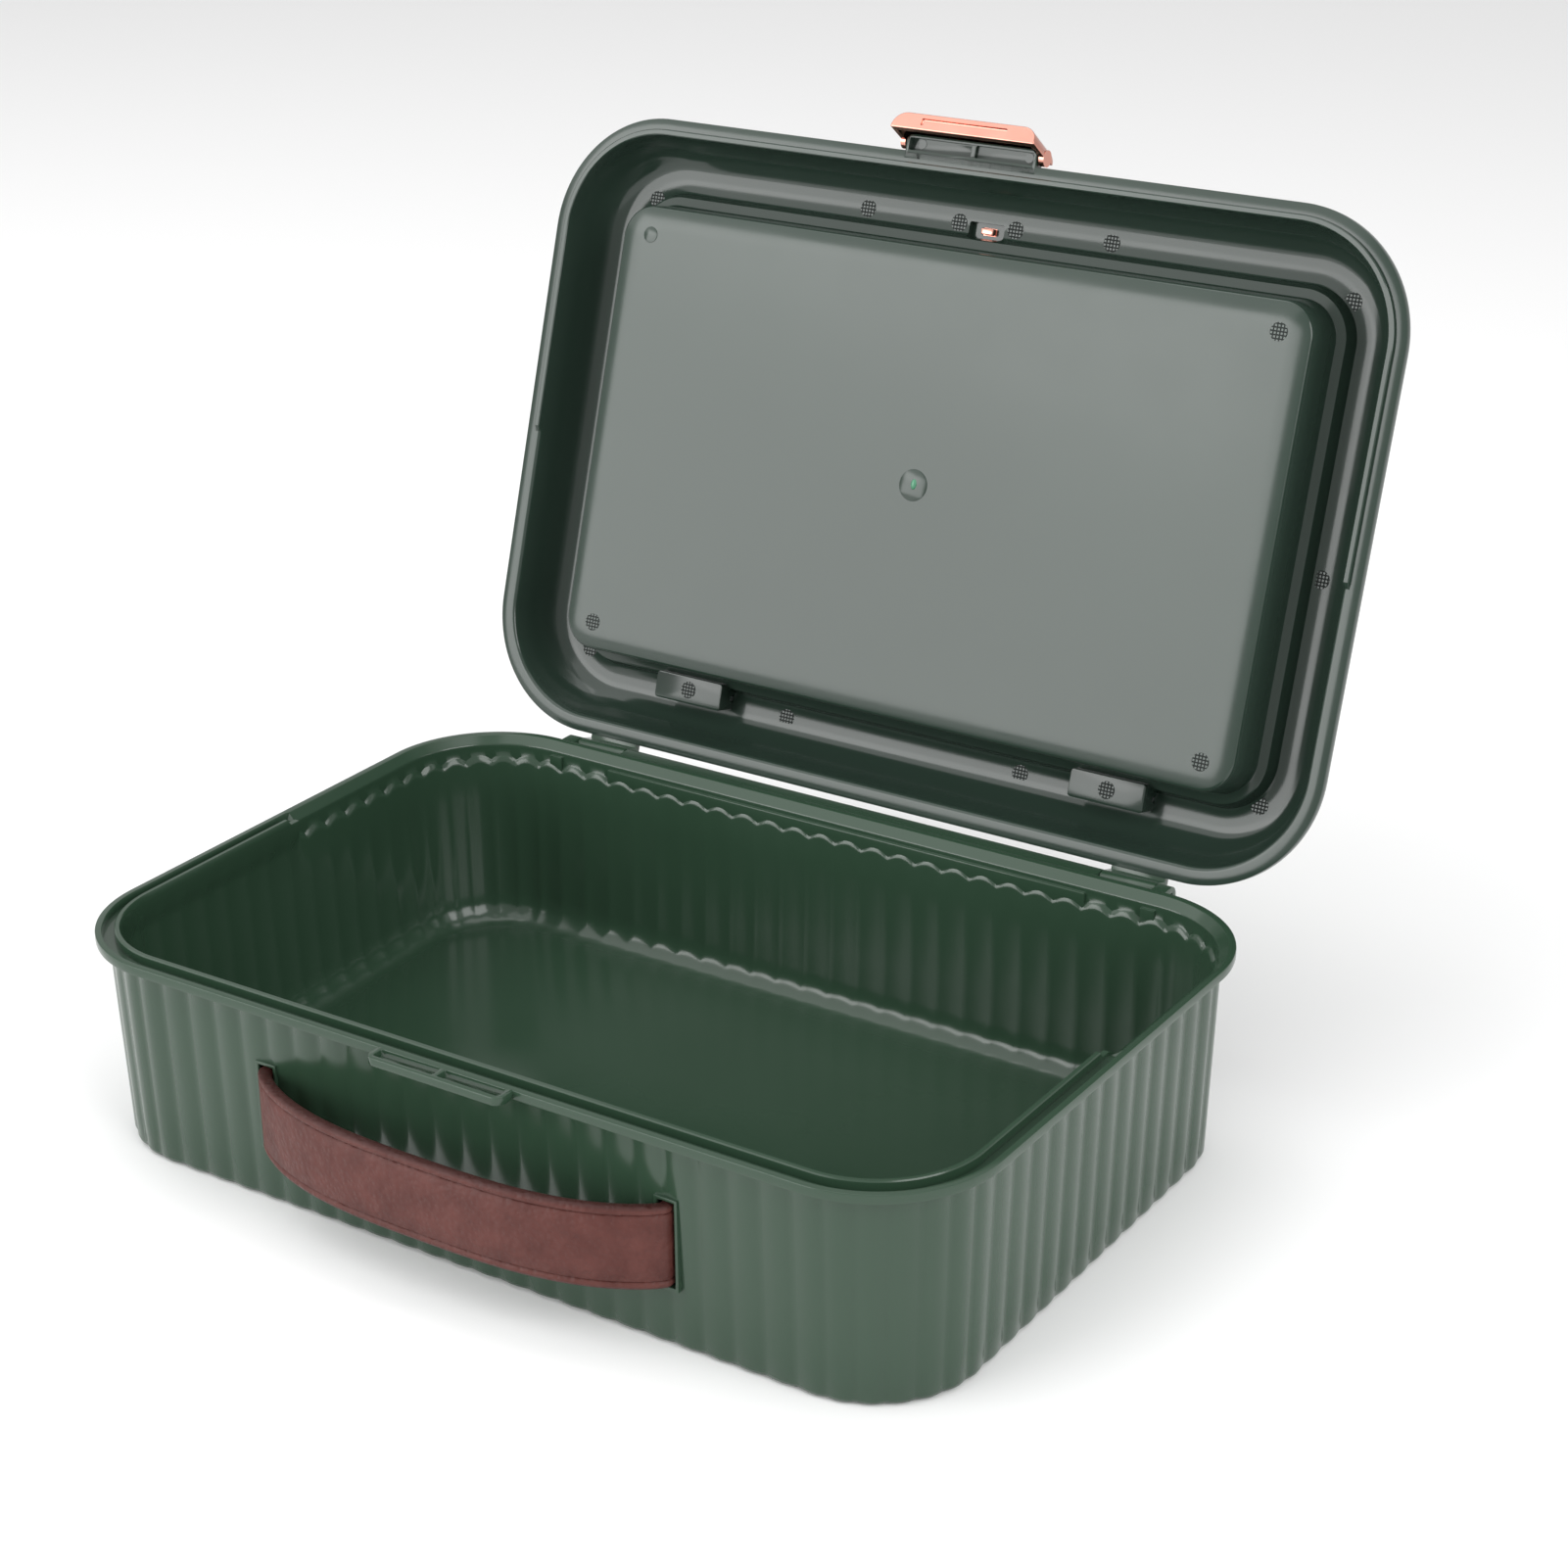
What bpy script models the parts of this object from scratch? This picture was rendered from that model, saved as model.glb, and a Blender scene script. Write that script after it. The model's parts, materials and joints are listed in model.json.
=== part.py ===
"""Fluted plastic carry case with a hinged lid, a bowed strap handle, a front clasp
and a shallow compartment in the lid under a top flap.

Metres, +Z up. The origin is the centre of the tub's flat underside, +X runs to the
right along the front and -Y points out of the front, where the handle is. The lid,
the flap and the clasp are drawn closed and hang on empties that stand on their hinge
axes; the lid's empty then holds it open and the clasp's holds it unhooked.
"""
import math

import bmesh
import bpy
from mathutils import Matrix, Vector

# ---- Tub ----------------------------------------------------------------------------
BOX_WIDTH = 0.300              # over the rim, left to right
BOX_DEPTH = 0.201              # over the rim, front to back
TUB_HEIGHT = 0.067             # floor to the top of the rim lip
CORNER_RADIUS = 0.038          # rim corners in plan
WALL = 0.002                   # tub wall and floor
FLANGE_REACH = 0.0038          # rim flange proud of the wall
FLANGE_THICKNESS = 0.0030
WALL_DRAFT = 0.0022            # each wall leans in by this much at the bottom
EDGE_ROUND = 0.0015            # rounding under the floor
FLUTE_PITCH = 0.00945
FLUTE_DEPTH = 0.0011

# ---- Rim seal, on the front half only ---------------------------------------------------
LIP_WIDTH = 0.0022
GROOVE_WIDTH = 0.0034
GROOVE_DEPTH = 0.0022
TONGUE_WIDTH = 0.0018
TONGUE_RISE = 0.0006
SEAL_END = 0.0010              # y where the tongue stops
LEDGE_DROP = 0.0025            # slope behind the lip on the rear half

# ---- Lid ------------------------------------------------------------------------------
LID_OVERHANG = 0.0009          # lid edge outside the rim edge
LID_WALL = 0.0022
LID_BAND = 0.0031              # upright band around the lid's edge
LID_HEIGHT = 0.0207            # rim plane to crown
LID_SHOULDER = 0.0036          # step in above the band
CROWN_EDGE = 0.0170            # dome run in to the crown
INNER_DOME_FOOT = 0.0020       # inner dome's foot above the rim plane
INNER_CROWN_EDGE = 0.0150
RECESS_EDGE = 0.0242           # lid edge to the compartment's mouth
RECESS_LEDGE_DEPTH = 0.0052    # mouth to the ledge that the flap lies on
RECESS_LEDGE_WIDTH = 0.0034
RECESS_RISER = 0.0014          # each riser's run over the ledge's depth
RECESS_FLOOR = 0.0007          # compartment floor above the rim plane
RIM_INNER = 0.0046             # inner edge of the lid's rim
RIB_INSET = 0.0034
RIB_WIDTH = 0.0018
RIB_DROP = 0.0016
LID_OPEN_DEGREES = 107.5

# ---- Lid hinge --------------------------------------------------------------------------
HINGE_BACK = 0.0053            # axis behind the rim edge
HINGE_DROP = 0.0041            # axis below the rim top
RAIL_HALF = 0.0884             # half the rail between the two hinges
LEAF_LENGTH = 0.0182
KNUCKLE_LENGTH = 0.0046        # the knuckle outside each leaf
PIN_GRIP = 0.0050              # pin inside the rail
KNUCKLE_RADIUS = 0.0033
HINGE_PIN_RADIUS = 0.0011
LEAF_THICKNESS = 0.0026

# ---- Catch, lug and clasp ------------------------------------------------------------------
CATCH_WIDTH = 0.0460
CATCH_REACH = 0.0060
CATCH_BAR = 0.0018
CATCH_HEIGHT = 0.0026
CATCH_RIB = 0.0016
CATCH_CORNER = 0.0030
LUG_HEIGHT = 0.0040
LUG_POCKET_DEPTH = 0.0030
LUG_WALL = 0.0010
LUG_CORNER = 0.0022
CLASP_WALL = 0.0017
CLASP_FRONT = 0.0018
CLASP_CORNER = 0.0050
CLASP_TOP = 0.0070             # above the lid's rim plane
CLASP_BOTTOM = 0.0083          # below the lid's rim plane
CLASP_LIP = 0.0020             # thickness of the finger lip
CLASP_LIP_REACH = 0.0054       # finger lip, front to back
CLASP_PIVOT_BACK = 0.0021      # pivot behind the catch's front face
CLASP_PIVOT_RISE = 0.0026      # pivot above the rim plane
CLASP_EAR_RADIUS = 0.0026
CLASP_BOSS_RADIUS = 0.0012
CLASP_HOOK_REACH = 0.0018
CLASP_HOOK_HEIGHT = 0.0014
CLASP_GRIP_LENGTH = 0.0300
CLASP_GRIP_WIDTH = 0.0024
CLASP_GRIP_DEPTH = 0.0010
CLASP_OPEN_DEGREES = 21.0

# ---- Handle -----------------------------------------------------------------------------
HANDLE_SPAN = 0.1374           # slot centre to slot centre
HANDLE_BOTTOM = 0.0205
STRAP_HEIGHT = 0.0250
STRAP_THICKNESS = 0.0036
STRAP_BOW = 0.0195             # outer face in front of the wall
STRAP_BEND_RUN = 0.25          # least run beside a slot before a bend, in thicknesses
SLOT_SIDE_GAP = 0.0009
SLOT_END_GAP = 0.0005
SLOT_FRAME = 0.0010            # frame around each slot
SLOT_FRAME_RISE = 0.0008       # frame proud of the flutes
STOP_WIDTH = 0.0080
STOP_THICKNESS = 0.0030
STOP_TRAVEL = 0.0024           # wall to stop, the strap's pull

# ---- Flap, its hinge and snap tab -------------------------------------------------------
FLAP_GAP = 0.0007
FLAP_THICKNESS = 0.0027
FLAP_SET_DOWN = 0.0003         # flap top below the crown
FLAP_SKIRT = 0.0020
FLAP_AXIS_INSET = 0.0200       # axis from the lid's rear edge
FLAP_AXIS_HEIGHT = 0.0174      # above the rim plane
FLAP_BARREL_RADIUS = 0.0022
FLAP_PIN_RADIUS = 0.0010
SOCKET_CENTRE = 0.0780
SOCKET_LENGTH = 0.0230
SOCKET_REAR = 0.0174           # socket's rear wall from the lid's rear edge
SOCKET_FLOOR = 0.0115
SOCKET_FRONT_WALL = 0.0012
SOCKET_WALL = 0.0015
SNAP_HOLE_LENGTH = 0.0126
SNAP_HOLE_WIDTH = 0.0050
SNAP_HOLE_INSET = 0.0180       # from the lid's front edge to the hole
SNAP_TAB_LENGTH = 0.0220
SNAP_TAB_REACH = 0.0170
SNAP_TAB_THICKNESS = 0.0016
SNAP_LEG_THICKNESS = 0.0020
SNAP_LEG_LENGTH = 0.0044

# ---- Clearances and mesh fineness -------------------------------------------------------------
GAP = 0.0003                   # between pieces that touch
RIM_GAP = 0.0004               # lid rim over tub rim
SIDE_GAP = 0.0006              # clasp ears beside the lug
CORNER_STEPS = 6
FLUTE_STEPS = 3
DOME_STEPS = 5
ROUND_SIDES = 20
BOW_STEPS = 22
THROUGH = 0.004                # how far a cutter runs past what it cuts

# ---- Derived places -------------------------------------------------------------------------
RIM_PLANE = TUB_HEIGHT + RIM_GAP
RIM_TOTAL = LIP_WIDTH + GROOVE_WIDTH + TONGUE_WIDTH
FRONT = -BOX_DEPTH / 2
REAR = BOX_DEPTH / 2
LID_REAR = REAR + LID_OVERHANG
LID_FRONT = FRONT - LID_OVERHANG
HINGE_AXIS = Vector((0, REAR + HINGE_BACK, TUB_HEIGHT - HINGE_DROP))
CATCH_FRONT = FRONT - CATCH_REACH
CLASP_AXIS = Vector((0, CATCH_FRONT + CLASP_PIVOT_BACK, RIM_PLANE + CLASP_PIVOT_RISE))
FLAP_AXIS = Vector((0, LID_REAR - FLAP_AXIS_INSET, RIM_PLANE + FLAP_AXIS_HEIGHT))
CLASP_INNER = CATCH_WIDTH / 2 + SIDE_GAP
CLASP_OUTER = CLASP_INNER + CLASP_WALL
CLASP_FRONT_FACE = CATCH_FRONT - 2 * GAP - GAP / 3 - CLASP_FRONT
WALL_TOP = TUB_HEIGHT - FLANGE_THICKNESS
SLOT_HALF = STRAP_THICKNESS / 2 + SLOT_SIDE_GAP
STRAP_MIDDLE = HANDLE_BOTTOM + STRAP_HEIGHT / 2
CROWN = RIM_PLANE + LID_HEIGHT

GREEN = (0.018, 0.052, 0.036, 1.0)
BROWN = (0.130, 0.036, 0.030, 1.0)
ROSE_GOLD = (0.780, 0.420, 0.350, 1.0)
STEEL = (0.560, 0.570, 0.580, 1.0)


def clear_scene():
    """Take every object, mesh and collection out of the file."""
    for thing in list(bpy.data.objects):
        bpy.data.objects.remove(thing, do_unlink=True)
    for shelf in list(bpy.data.collections):
        bpy.data.collections.remove(shelf)


def new_collection(name):
    shelf = bpy.data.collections.new(name)
    bpy.context.scene.collection.children.link(shelf)
    return shelf


def new_material(name, colour, roughness, metallic=0.0):
    material = bpy.data.materials.new(name)
    material.use_nodes = True
    shader = material.node_tree.nodes["Principled BSDF"]
    shader.inputs["Base Color"].default_value = colour
    shader.inputs["Roughness"].default_value = roughness
    shader.inputs["Metallic"].default_value = metallic
    return material


def new_axis(name, place, parent=None, parent_place=Vector((0, 0, 0)), degrees=0.0):
    """An empty on a joint's axis, turned about X by the given angle."""
    axis = bpy.data.objects.new(name, None)
    axis.empty_display_size = 0.02
    axis.location = place - parent_place
    axis.rotation_euler = (math.radians(degrees), 0, 0)
    axis.parent = parent
    CASE.objects.link(axis)
    return axis


def place_mesh(name, bm, home, material=None):
    """Turn a bmesh drawn in closed-case coordinates into an object on its home axis."""
    axis, centre = home
    bmesh.ops.recalc_face_normals(bm, faces=bm.faces)
    bmesh.ops.translate(bm, verts=bm.verts, vec=-centre)
    mesh = bpy.data.meshes.new(name)
    bm.to_mesh(mesh)
    bm.free()
    thing = bpy.data.objects.new(name, mesh)
    thing.parent = axis
    if material is None:
        thing.hide_render = True
        thing.display_type = "WIRE"
        TOOLS.objects.link(thing)
    else:
        mesh.materials.append(material)
        CASE.objects.link(thing)
    return thing


def combine(body, tool, operation):
    """Join a tool body to, cut it from or keep only its share of a body."""
    step = body.modifiers.new(tool.name, "BOOLEAN")
    step.operation = operation
    step.solver = "EXACT"
    step.object = tool


def box(low, high):
    bm = bmesh.new()
    bmesh.ops.create_cube(bm, size=1.0)
    low = Vector(low)
    high = Vector(high)
    bmesh.ops.scale(bm, verts=bm.verts, vec=high - low)
    bmesh.ops.translate(bm, verts=bm.verts, vec=(low + high) / 2)
    return bm


def rounded_box(low, high, radius, keep=lambda edge: True):
    """A box whose upright edges, or those of them that keep accepts, are rounded."""
    bm = box(low, high)
    upright = []
    for edge in bm.edges:
        run = edge.verts[0].co - edge.verts[1].co
        if abs(run.x) < GAP / 10 and abs(run.y) < GAP / 10 and keep(edge):
            upright.append(edge)
    bmesh.ops.bevel(bm, geom=upright, offset=radius, segments=4, profile=0.5, affect="EDGES")
    return bm


def rod(x_low, x_high, centre, radius, sides=ROUND_SIDES):
    """A cylinder along X about the given axis."""
    bm = bmesh.new()
    bmesh.ops.create_cone(bm, cap_ends=True, segments=sides, radius1=radius,
                          radius2=radius, depth=x_high - x_low)
    bmesh.ops.rotate(bm, verts=bm.verts, matrix=Matrix.Rotation(math.pi / 2, 3, "Y"))
    middle = Vector(((x_low + x_high) / 2, centre.y, centre.z))
    bmesh.ops.translate(bm, verts=bm.verts, vec=middle)
    return bm


def prism(x_low, x_high, side_points):
    """A side profile of (y, z) points carried across from x_low to x_high."""
    bm = bmesh.new()
    ring = [bm.verts.new((x_low, y, z)) for y, z in side_points]
    face = bm.faces.new(ring)
    grown = bmesh.ops.extrude_face_region(bm, geom=[face])
    moved = [part for part in grown["geom"] if isinstance(part, bmesh.types.BMVert)]
    bmesh.ops.translate(bm, verts=moved, vec=(x_high - x_low, 0, 0))
    return bm


def outline(inset, overhang=0.0):
    """Corner points of the case's rounded rectangle, shrunk all round by inset."""
    half_width = BOX_WIDTH / 2 + overhang - inset
    half_depth = BOX_DEPTH / 2 + overhang - inset
    radius = CORNER_RADIUS + overhang - inset
    points = []
    for quarter in range(4):
        x_side = 1 if quarter in (0, 3) else -1
        y_side = 1 if quarter in (0, 1) else -1
        for step in range(CORNER_STEPS + 1):
            angle = math.radians(90 * (quarter + step / CORNER_STEPS))
            points.append((x_side * (half_width - radius) + radius * math.cos(angle),
                           y_side * (half_depth - radius) + radius * math.sin(angle)))
    return points


def walk_outline(inset, distance_share):
    """Point and outward direction at a share of the way round, from the front centre."""
    radius = CORNER_RADIUS - inset
    flat_x = BOX_WIDTH / 2 - CORNER_RADIUS
    flat_y = BOX_DEPTH / 2 - CORNER_RADIUS
    arc = radius * math.pi / 2
    quarter_length = flat_x + flat_y + arc
    travel = distance_share * 4 * quarter_length
    quarter = int(travel // quarter_length) % 4
    travel -= quarter * quarter_length
    backwards = quarter % 2 == 1
    if backwards:
        travel = quarter_length - travel
    if travel <= flat_x:
        x, y, angle = travel, -(flat_y + radius), -math.pi / 2
    elif travel <= flat_x + arc:
        angle = -math.pi / 2 + (travel - flat_x) / radius
        x = flat_x + radius * math.cos(angle)
        y = -flat_y + radius * math.sin(angle)
    else:
        x, y, angle = flat_x + radius, -flat_y + (travel - flat_x - arc), 0.0
    x_side = 1 if quarter in (0, 1) else -1
    y_side = 1 if quarter in (0, 3) else -1
    return (Vector((x * x_side, y * y_side)),
            Vector((math.cos(angle) * x_side, math.sin(angle) * y_side)))


def flute_count():
    """Whole flutes round the case, the same number on each quarter."""
    girth = 2 * (BOX_WIDTH + BOX_DEPTH) - (8 - 2 * math.pi) * CORNER_RADIUS
    return 4 * round(girth / FLUTE_PITCH / 4)


def fluted_outline(inset):
    """The wall's outer outline: rounded ribs with a valley between each two."""
    flutes = flute_count()
    points = []
    for step in range(flutes * FLUTE_STEPS):
        place, outward = walk_outline(inset, step / (flutes * FLUTE_STEPS))
        share = (step % FLUTE_STEPS) / FLUTE_STEPS
        sink = FLUTE_DEPTH * (1 - math.sin(math.pi * share))
        points.append(tuple(place - outward * sink))
    return points


def loft(rings):
    """A closed skin through (points, height) rings, capped on its first and last."""
    bm = bmesh.new()
    loops = [[bm.verts.new((x, y, z)) for x, y in points] for points, z in rings]
    for lower, upper in zip(loops[:-1], loops[1:]):
        count = len(lower)
        for place in range(count):
            after = (place + 1) % count
            bm.faces.new((lower[place], lower[after], upper[after], upper[place]))
    bm.faces.new(loops[0])
    bm.faces.new(loops[-1])
    return bm


def rim_ring(name, outer, inner, low, high, y_low, y_high, home, overhang=0.0):
    """The part of a band between two insets that lies between two y places."""
    band = place_mesh(name, loft([(outline(outer, overhang), low),
                                  (outline(outer, overhang), high)]), home)
    core = place_mesh(name + "_core", loft([(outline(inner, overhang), low - THROUGH),
                                            (outline(inner, overhang), high + THROUGH)]), home)
    reach = BOX_WIDTH
    keep = place_mesh(name + "_keep", box((-reach, y_low, low - THROUGH),
                                          (reach, y_high, high + THROUGH)), home)
    combine(band, core, "DIFFERENCE")
    combine(band, keep, "INTERSECT")
    return band


def wall_inset(height):
    """Inset of the wall's outer face at a height above the table."""
    return FLANGE_REACH + WALL_DRAFT * (1 - height / WALL_TOP)


def build_tub(material):
    home = (None, Vector((0, 0, 0)))
    tub = place_mesh("tub", loft([
        (fluted_outline(wall_inset(0) + EDGE_ROUND), 0.0),
        (fluted_outline(wall_inset(EDGE_ROUND)), EDGE_ROUND),
        (fluted_outline(wall_inset(WALL_TOP)), WALL_TOP)]), home, material)
    flange = place_mesh("tub_flange", loft([
        (outline(FLANGE_REACH + FLUTE_DEPTH), WALL_TOP - EDGE_ROUND),
        (outline(0.0), WALL_TOP),
        (outline(0.0), TUB_HEIGHT)]), home)
    combine(tub, flange, "UNION")
    add_knuckles(tub, home)
    add_catch(tub, home)
    add_slot_frames(tub, home)
    cavity = place_mesh("tub_cavity", loft([
        (outline(wall_inset(0) + WALL + FLUTE_DEPTH + EDGE_ROUND), WALL),
        (outline(wall_inset(0) + WALL + FLUTE_DEPTH), WALL + EDGE_ROUND),
        (outline(wall_inset(WALL_TOP) + WALL + FLUTE_DEPTH), WALL_TOP - 2 * FLANGE_THICKNESS),
        (outline(RIM_TOTAL), TUB_HEIGHT - FLANGE_THICKNESS),
        (outline(RIM_TOTAL), TUB_HEIGHT + THROUGH)]), home)
    combine(tub, cavity, "DIFFERENCE")
    slope = place_mesh("rear_ledge", loft([
        (outline(RIM_TOTAL), TUB_HEIGHT - LEDGE_DROP),
        (outline(LIP_WIDTH), TUB_HEIGHT - GAP),
        (outline(LIP_WIDTH), TUB_HEIGHT + THROUGH)]), home)
    rear_only = place_mesh("rear_ledge_keep", box(
        (-BOX_WIDTH, SEAL_END, TUB_HEIGHT - 2 * LEDGE_DROP),
        (BOX_WIDTH, BOX_DEPTH, TUB_HEIGHT + 2 * THROUGH)), home)
    combine(slope, rear_only, "INTERSECT")
    combine(tub, slope, "DIFFERENCE")
    groove = rim_ring("seal_groove", LIP_WIDTH, LIP_WIDTH + GROOVE_WIDTH,
                      TUB_HEIGHT - GROOVE_DEPTH, TUB_HEIGHT + THROUGH,
                      -BOX_DEPTH, SEAL_END + GAP, home)
    combine(tub, groove, "DIFFERENCE")
    tongue = rim_ring("seal_tongue", LIP_WIDTH + GROOVE_WIDTH, RIM_TOTAL,
                      TUB_HEIGHT - GROOVE_DEPTH, TUB_HEIGHT + TONGUE_RISE,
                      -BOX_DEPTH, SEAL_END, home)
    combine(tub, tongue, "UNION")
    cut_catch(tub, home)
    cut_slots(tub, home)
    cut_knuckle_bores(tub, home)
    return tub


def mirrored(side, near, far):
    """An X range on one side of the centre line, in rising order."""
    return (near, far) if side > 0 else (-far, -near)


def leaf_span(side):
    """X range of the lid leaf at one hinge, between the rail and its outer knuckle."""
    return mirrored(side, RAIL_HALF + GAP, RAIL_HALF + GAP + LEAF_LENGTH)


def knuckle_span(side):
    start = RAIL_HALF + 2 * GAP + LEAF_LENGTH
    return mirrored(side, start, start + KNUCKLE_LENGTH)


def pin_span(side):
    """X range of a lid hinge pin, from inside the rail to its outer knuckle's end."""
    end = RAIL_HALF + GAP + LEAF_LENGTH + KNUCKLE_LENGTH
    return mirrored(side, RAIL_HALF - PIN_GRIP, end)


def add_knuckles(tub, home):
    """The rail along the back and a knuckle outside each lid leaf, all on one profile."""
    web_low = HINGE_AXIS.z - KNUCKLE_RADIUS
    web_high = HINGE_AXIS.z + KNUCKLE_RADIUS
    spans = {"rail": (-RAIL_HALF, RAIL_HALF),
             "left_knuckle": knuckle_span(-1), "right_knuckle": knuckle_span(1)}
    for label, (low, high) in spans.items():
        barrel = rod(low, high, HINGE_AXIS, KNUCKLE_RADIUS)
        combine(tub, place_mesh(label, barrel, home), "UNION")
        web = prism(low, high, [
            (REAR - FLANGE_REACH - WALL, web_low - FLANGE_REACH),
            (HINGE_AXIS.y, web_low),
            (HINGE_AXIS.y, web_high),
            (REAR - FLANGE_REACH - WALL, web_high)])
        combine(tub, place_mesh(label + "_web", web, home), "UNION")


def cut_knuckle_bores(tub, home):
    for side in (-1, 1):
        low, high = pin_span(side)
        bore = rod(low - 2 * GAP, high + 2 * GAP, HINGE_AXIS, HINGE_PIN_RADIUS + GAP)
        combine(tub, place_mesh("knuckle_bore_%d" % (side + 2), bore, home), "DIFFERENCE")


def in_front(edge):
    return edge.verts[0].co.y < 0 and edge.verts[0].co.y < FRONT - CATCH_BAR


def add_catch(tub, home):
    """The loop in front of the rim that the clasp hooks under."""
    loop = rounded_box((-CATCH_WIDTH / 2, CATCH_FRONT, TUB_HEIGHT - CATCH_HEIGHT),
                       (CATCH_WIDTH / 2, FRONT + LIP_WIDTH / 2, TUB_HEIGHT - GAP / 10),
                       CATCH_CORNER, in_front)
    combine(tub, place_mesh("catch_loop", loop, home), "UNION")


def cut_catch(tub, home):
    """Two pockets right through the loop, either side of its middle rib."""
    for side in (-1, 1):
        near = side * CATCH_RIB / 2
        far = side * (CATCH_WIDTH / 2 - CATCH_BAR)
        pocket = box((min(near, far), CATCH_FRONT + CATCH_BAR, TUB_HEIGHT - FLANGE_THICKNESS - THROUGH),
                     (max(near, far), FRONT - GAP, TUB_HEIGHT + THROUGH))
        combine(tub, place_mesh("catch_pocket_%d" % (side + 2), pocket, home), "DIFFERENCE")


def slot_range(side):
    centre = side * HANDLE_SPAN / 2
    return centre - SLOT_HALF, centre + SLOT_HALF


def add_slot_frames(tub, home):
    """A thin raised frame round each handle slot."""
    face = FRONT + wall_inset(STRAP_MIDDLE) - SLOT_FRAME_RISE
    for side in (-1, 1):
        low, high = slot_range(side)
        frame = box((low - SLOT_FRAME, face, HANDLE_BOTTOM - SLOT_END_GAP - SLOT_FRAME),
                    (high + SLOT_FRAME, face + WALL + SLOT_FRAME_RISE + FLUTE_DEPTH,
                     HANDLE_BOTTOM + STRAP_HEIGHT + SLOT_END_GAP + SLOT_FRAME))
        combine(tub, place_mesh("slot_frame_%d" % (side + 2), frame, home), "UNION")


def cut_slots(tub, home):
    for side in (-1, 1):
        low, high = slot_range(side)
        slot = box((low, FRONT - THROUGH, HANDLE_BOTTOM - SLOT_END_GAP),
                   (high, FRONT + wall_inset(0) + 2 * THROUGH,
                    HANDLE_BOTTOM + STRAP_HEIGHT + SLOT_END_GAP))
        combine(tub, place_mesh("handle_slot_%d" % (side + 2), slot, home), "DIFFERENCE")


def quarter_dome(edge_inset, edge_height, crown_inset, crown_height):
    """Ring places on a quarter ellipse from the lid's edge up to its crown."""
    places = []
    for step in range(DOME_STEPS + 1):
        angle = math.pi / 2 * step / DOME_STEPS
        places.append((crown_inset - (crown_inset - edge_inset) * math.cos(angle),
                       edge_height + (crown_height - edge_height) * math.sin(angle)))
    return places


def lid_rings():
    """The lid's section from the compartment floor out, round the rim and back inside."""
    ledge = LID_HEIGHT - RECESS_LEDGE_DEPTH
    riser = RECESS_RISER
    mouth = RECESS_EDGE
    outside = [(mouth + riser + RECESS_LEDGE_WIDTH + riser, RECESS_FLOOR),
               (mouth + riser + RECESS_LEDGE_WIDTH, ledge),
               (mouth + riser, ledge),
               (mouth, LID_HEIGHT)]
    dome = quarter_dome(LID_SHOULDER, LID_BAND + GAP, CROWN_EDGE, LID_HEIGHT)
    inner_dome = quarter_dome(RIM_INNER, INNER_DOME_FOOT, INNER_CROWN_EDGE,
                              LID_HEIGHT - LID_WALL)
    rim = [(0.0, LID_BAND), (0.0, 0.0), (RIM_INNER, 0.0)]
    inside = [(inset - LID_WALL, height - LID_WALL) for inset, height in reversed(outside)]
    section = outside + list(reversed(dome)) + rim + inner_dome + inside
    return [(outline(inset, LID_OVERHANG), RIM_PLANE + height) for inset, height in section]


def build_lid(home, material):
    lid = place_mesh("lid", loft(lid_rings()), home, material)
    rib = rim_ring("seal_rib", RIB_INSET, RIB_INSET + RIB_WIDTH, RIM_PLANE - RIB_DROP,
                   RIM_PLANE + GAP * 2, -BOX_DEPTH, SEAL_END - GAP, home, LID_OVERHANG)
    combine(lid, rib, "UNION")
    add_leaves(lid, home)
    add_lug(lid, home)
    add_sockets(lid, home)
    cut_snap_hole(lid, home)
    return lid


def add_leaves(lid, home):
    """A leaf a hinge: a barrel on the axis, an upright and a tongue into the lid's rim."""
    back = HINGE_AXIS.y + KNUCKLE_RADIUS
    top = RIM_PLANE + LEAF_THICKNESS
    for side in (-1, 1):
        low, high = leaf_span(side)
        label = "leaf_%d" % (side + 2)
        arm = prism(low, high, [
            (HINGE_AXIS.y - LEAF_THICKNESS, HINGE_AXIS.z),
            (back, HINGE_AXIS.z),
            (back, top),
            (LID_REAR - RIM_INNER / 2, top),
            (LID_REAR - RIM_INNER / 2, RIM_PLANE + GAP),
            (HINGE_AXIS.y - LEAF_THICKNESS, RIM_PLANE + GAP)])
        combine(lid, place_mesh(label, arm, home), "UNION")
        barrel = rod(low, high, HINGE_AXIS, KNUCKLE_RADIUS)
        combine(lid, place_mesh(label + "_barrel", barrel, home), "UNION")
        bore = rod(low - THROUGH, high + THROUGH, HINGE_AXIS, HINGE_PIN_RADIUS + GAP)
        combine(lid, place_mesh(label + "_bore", bore, home), "DIFFERENCE")


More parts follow.
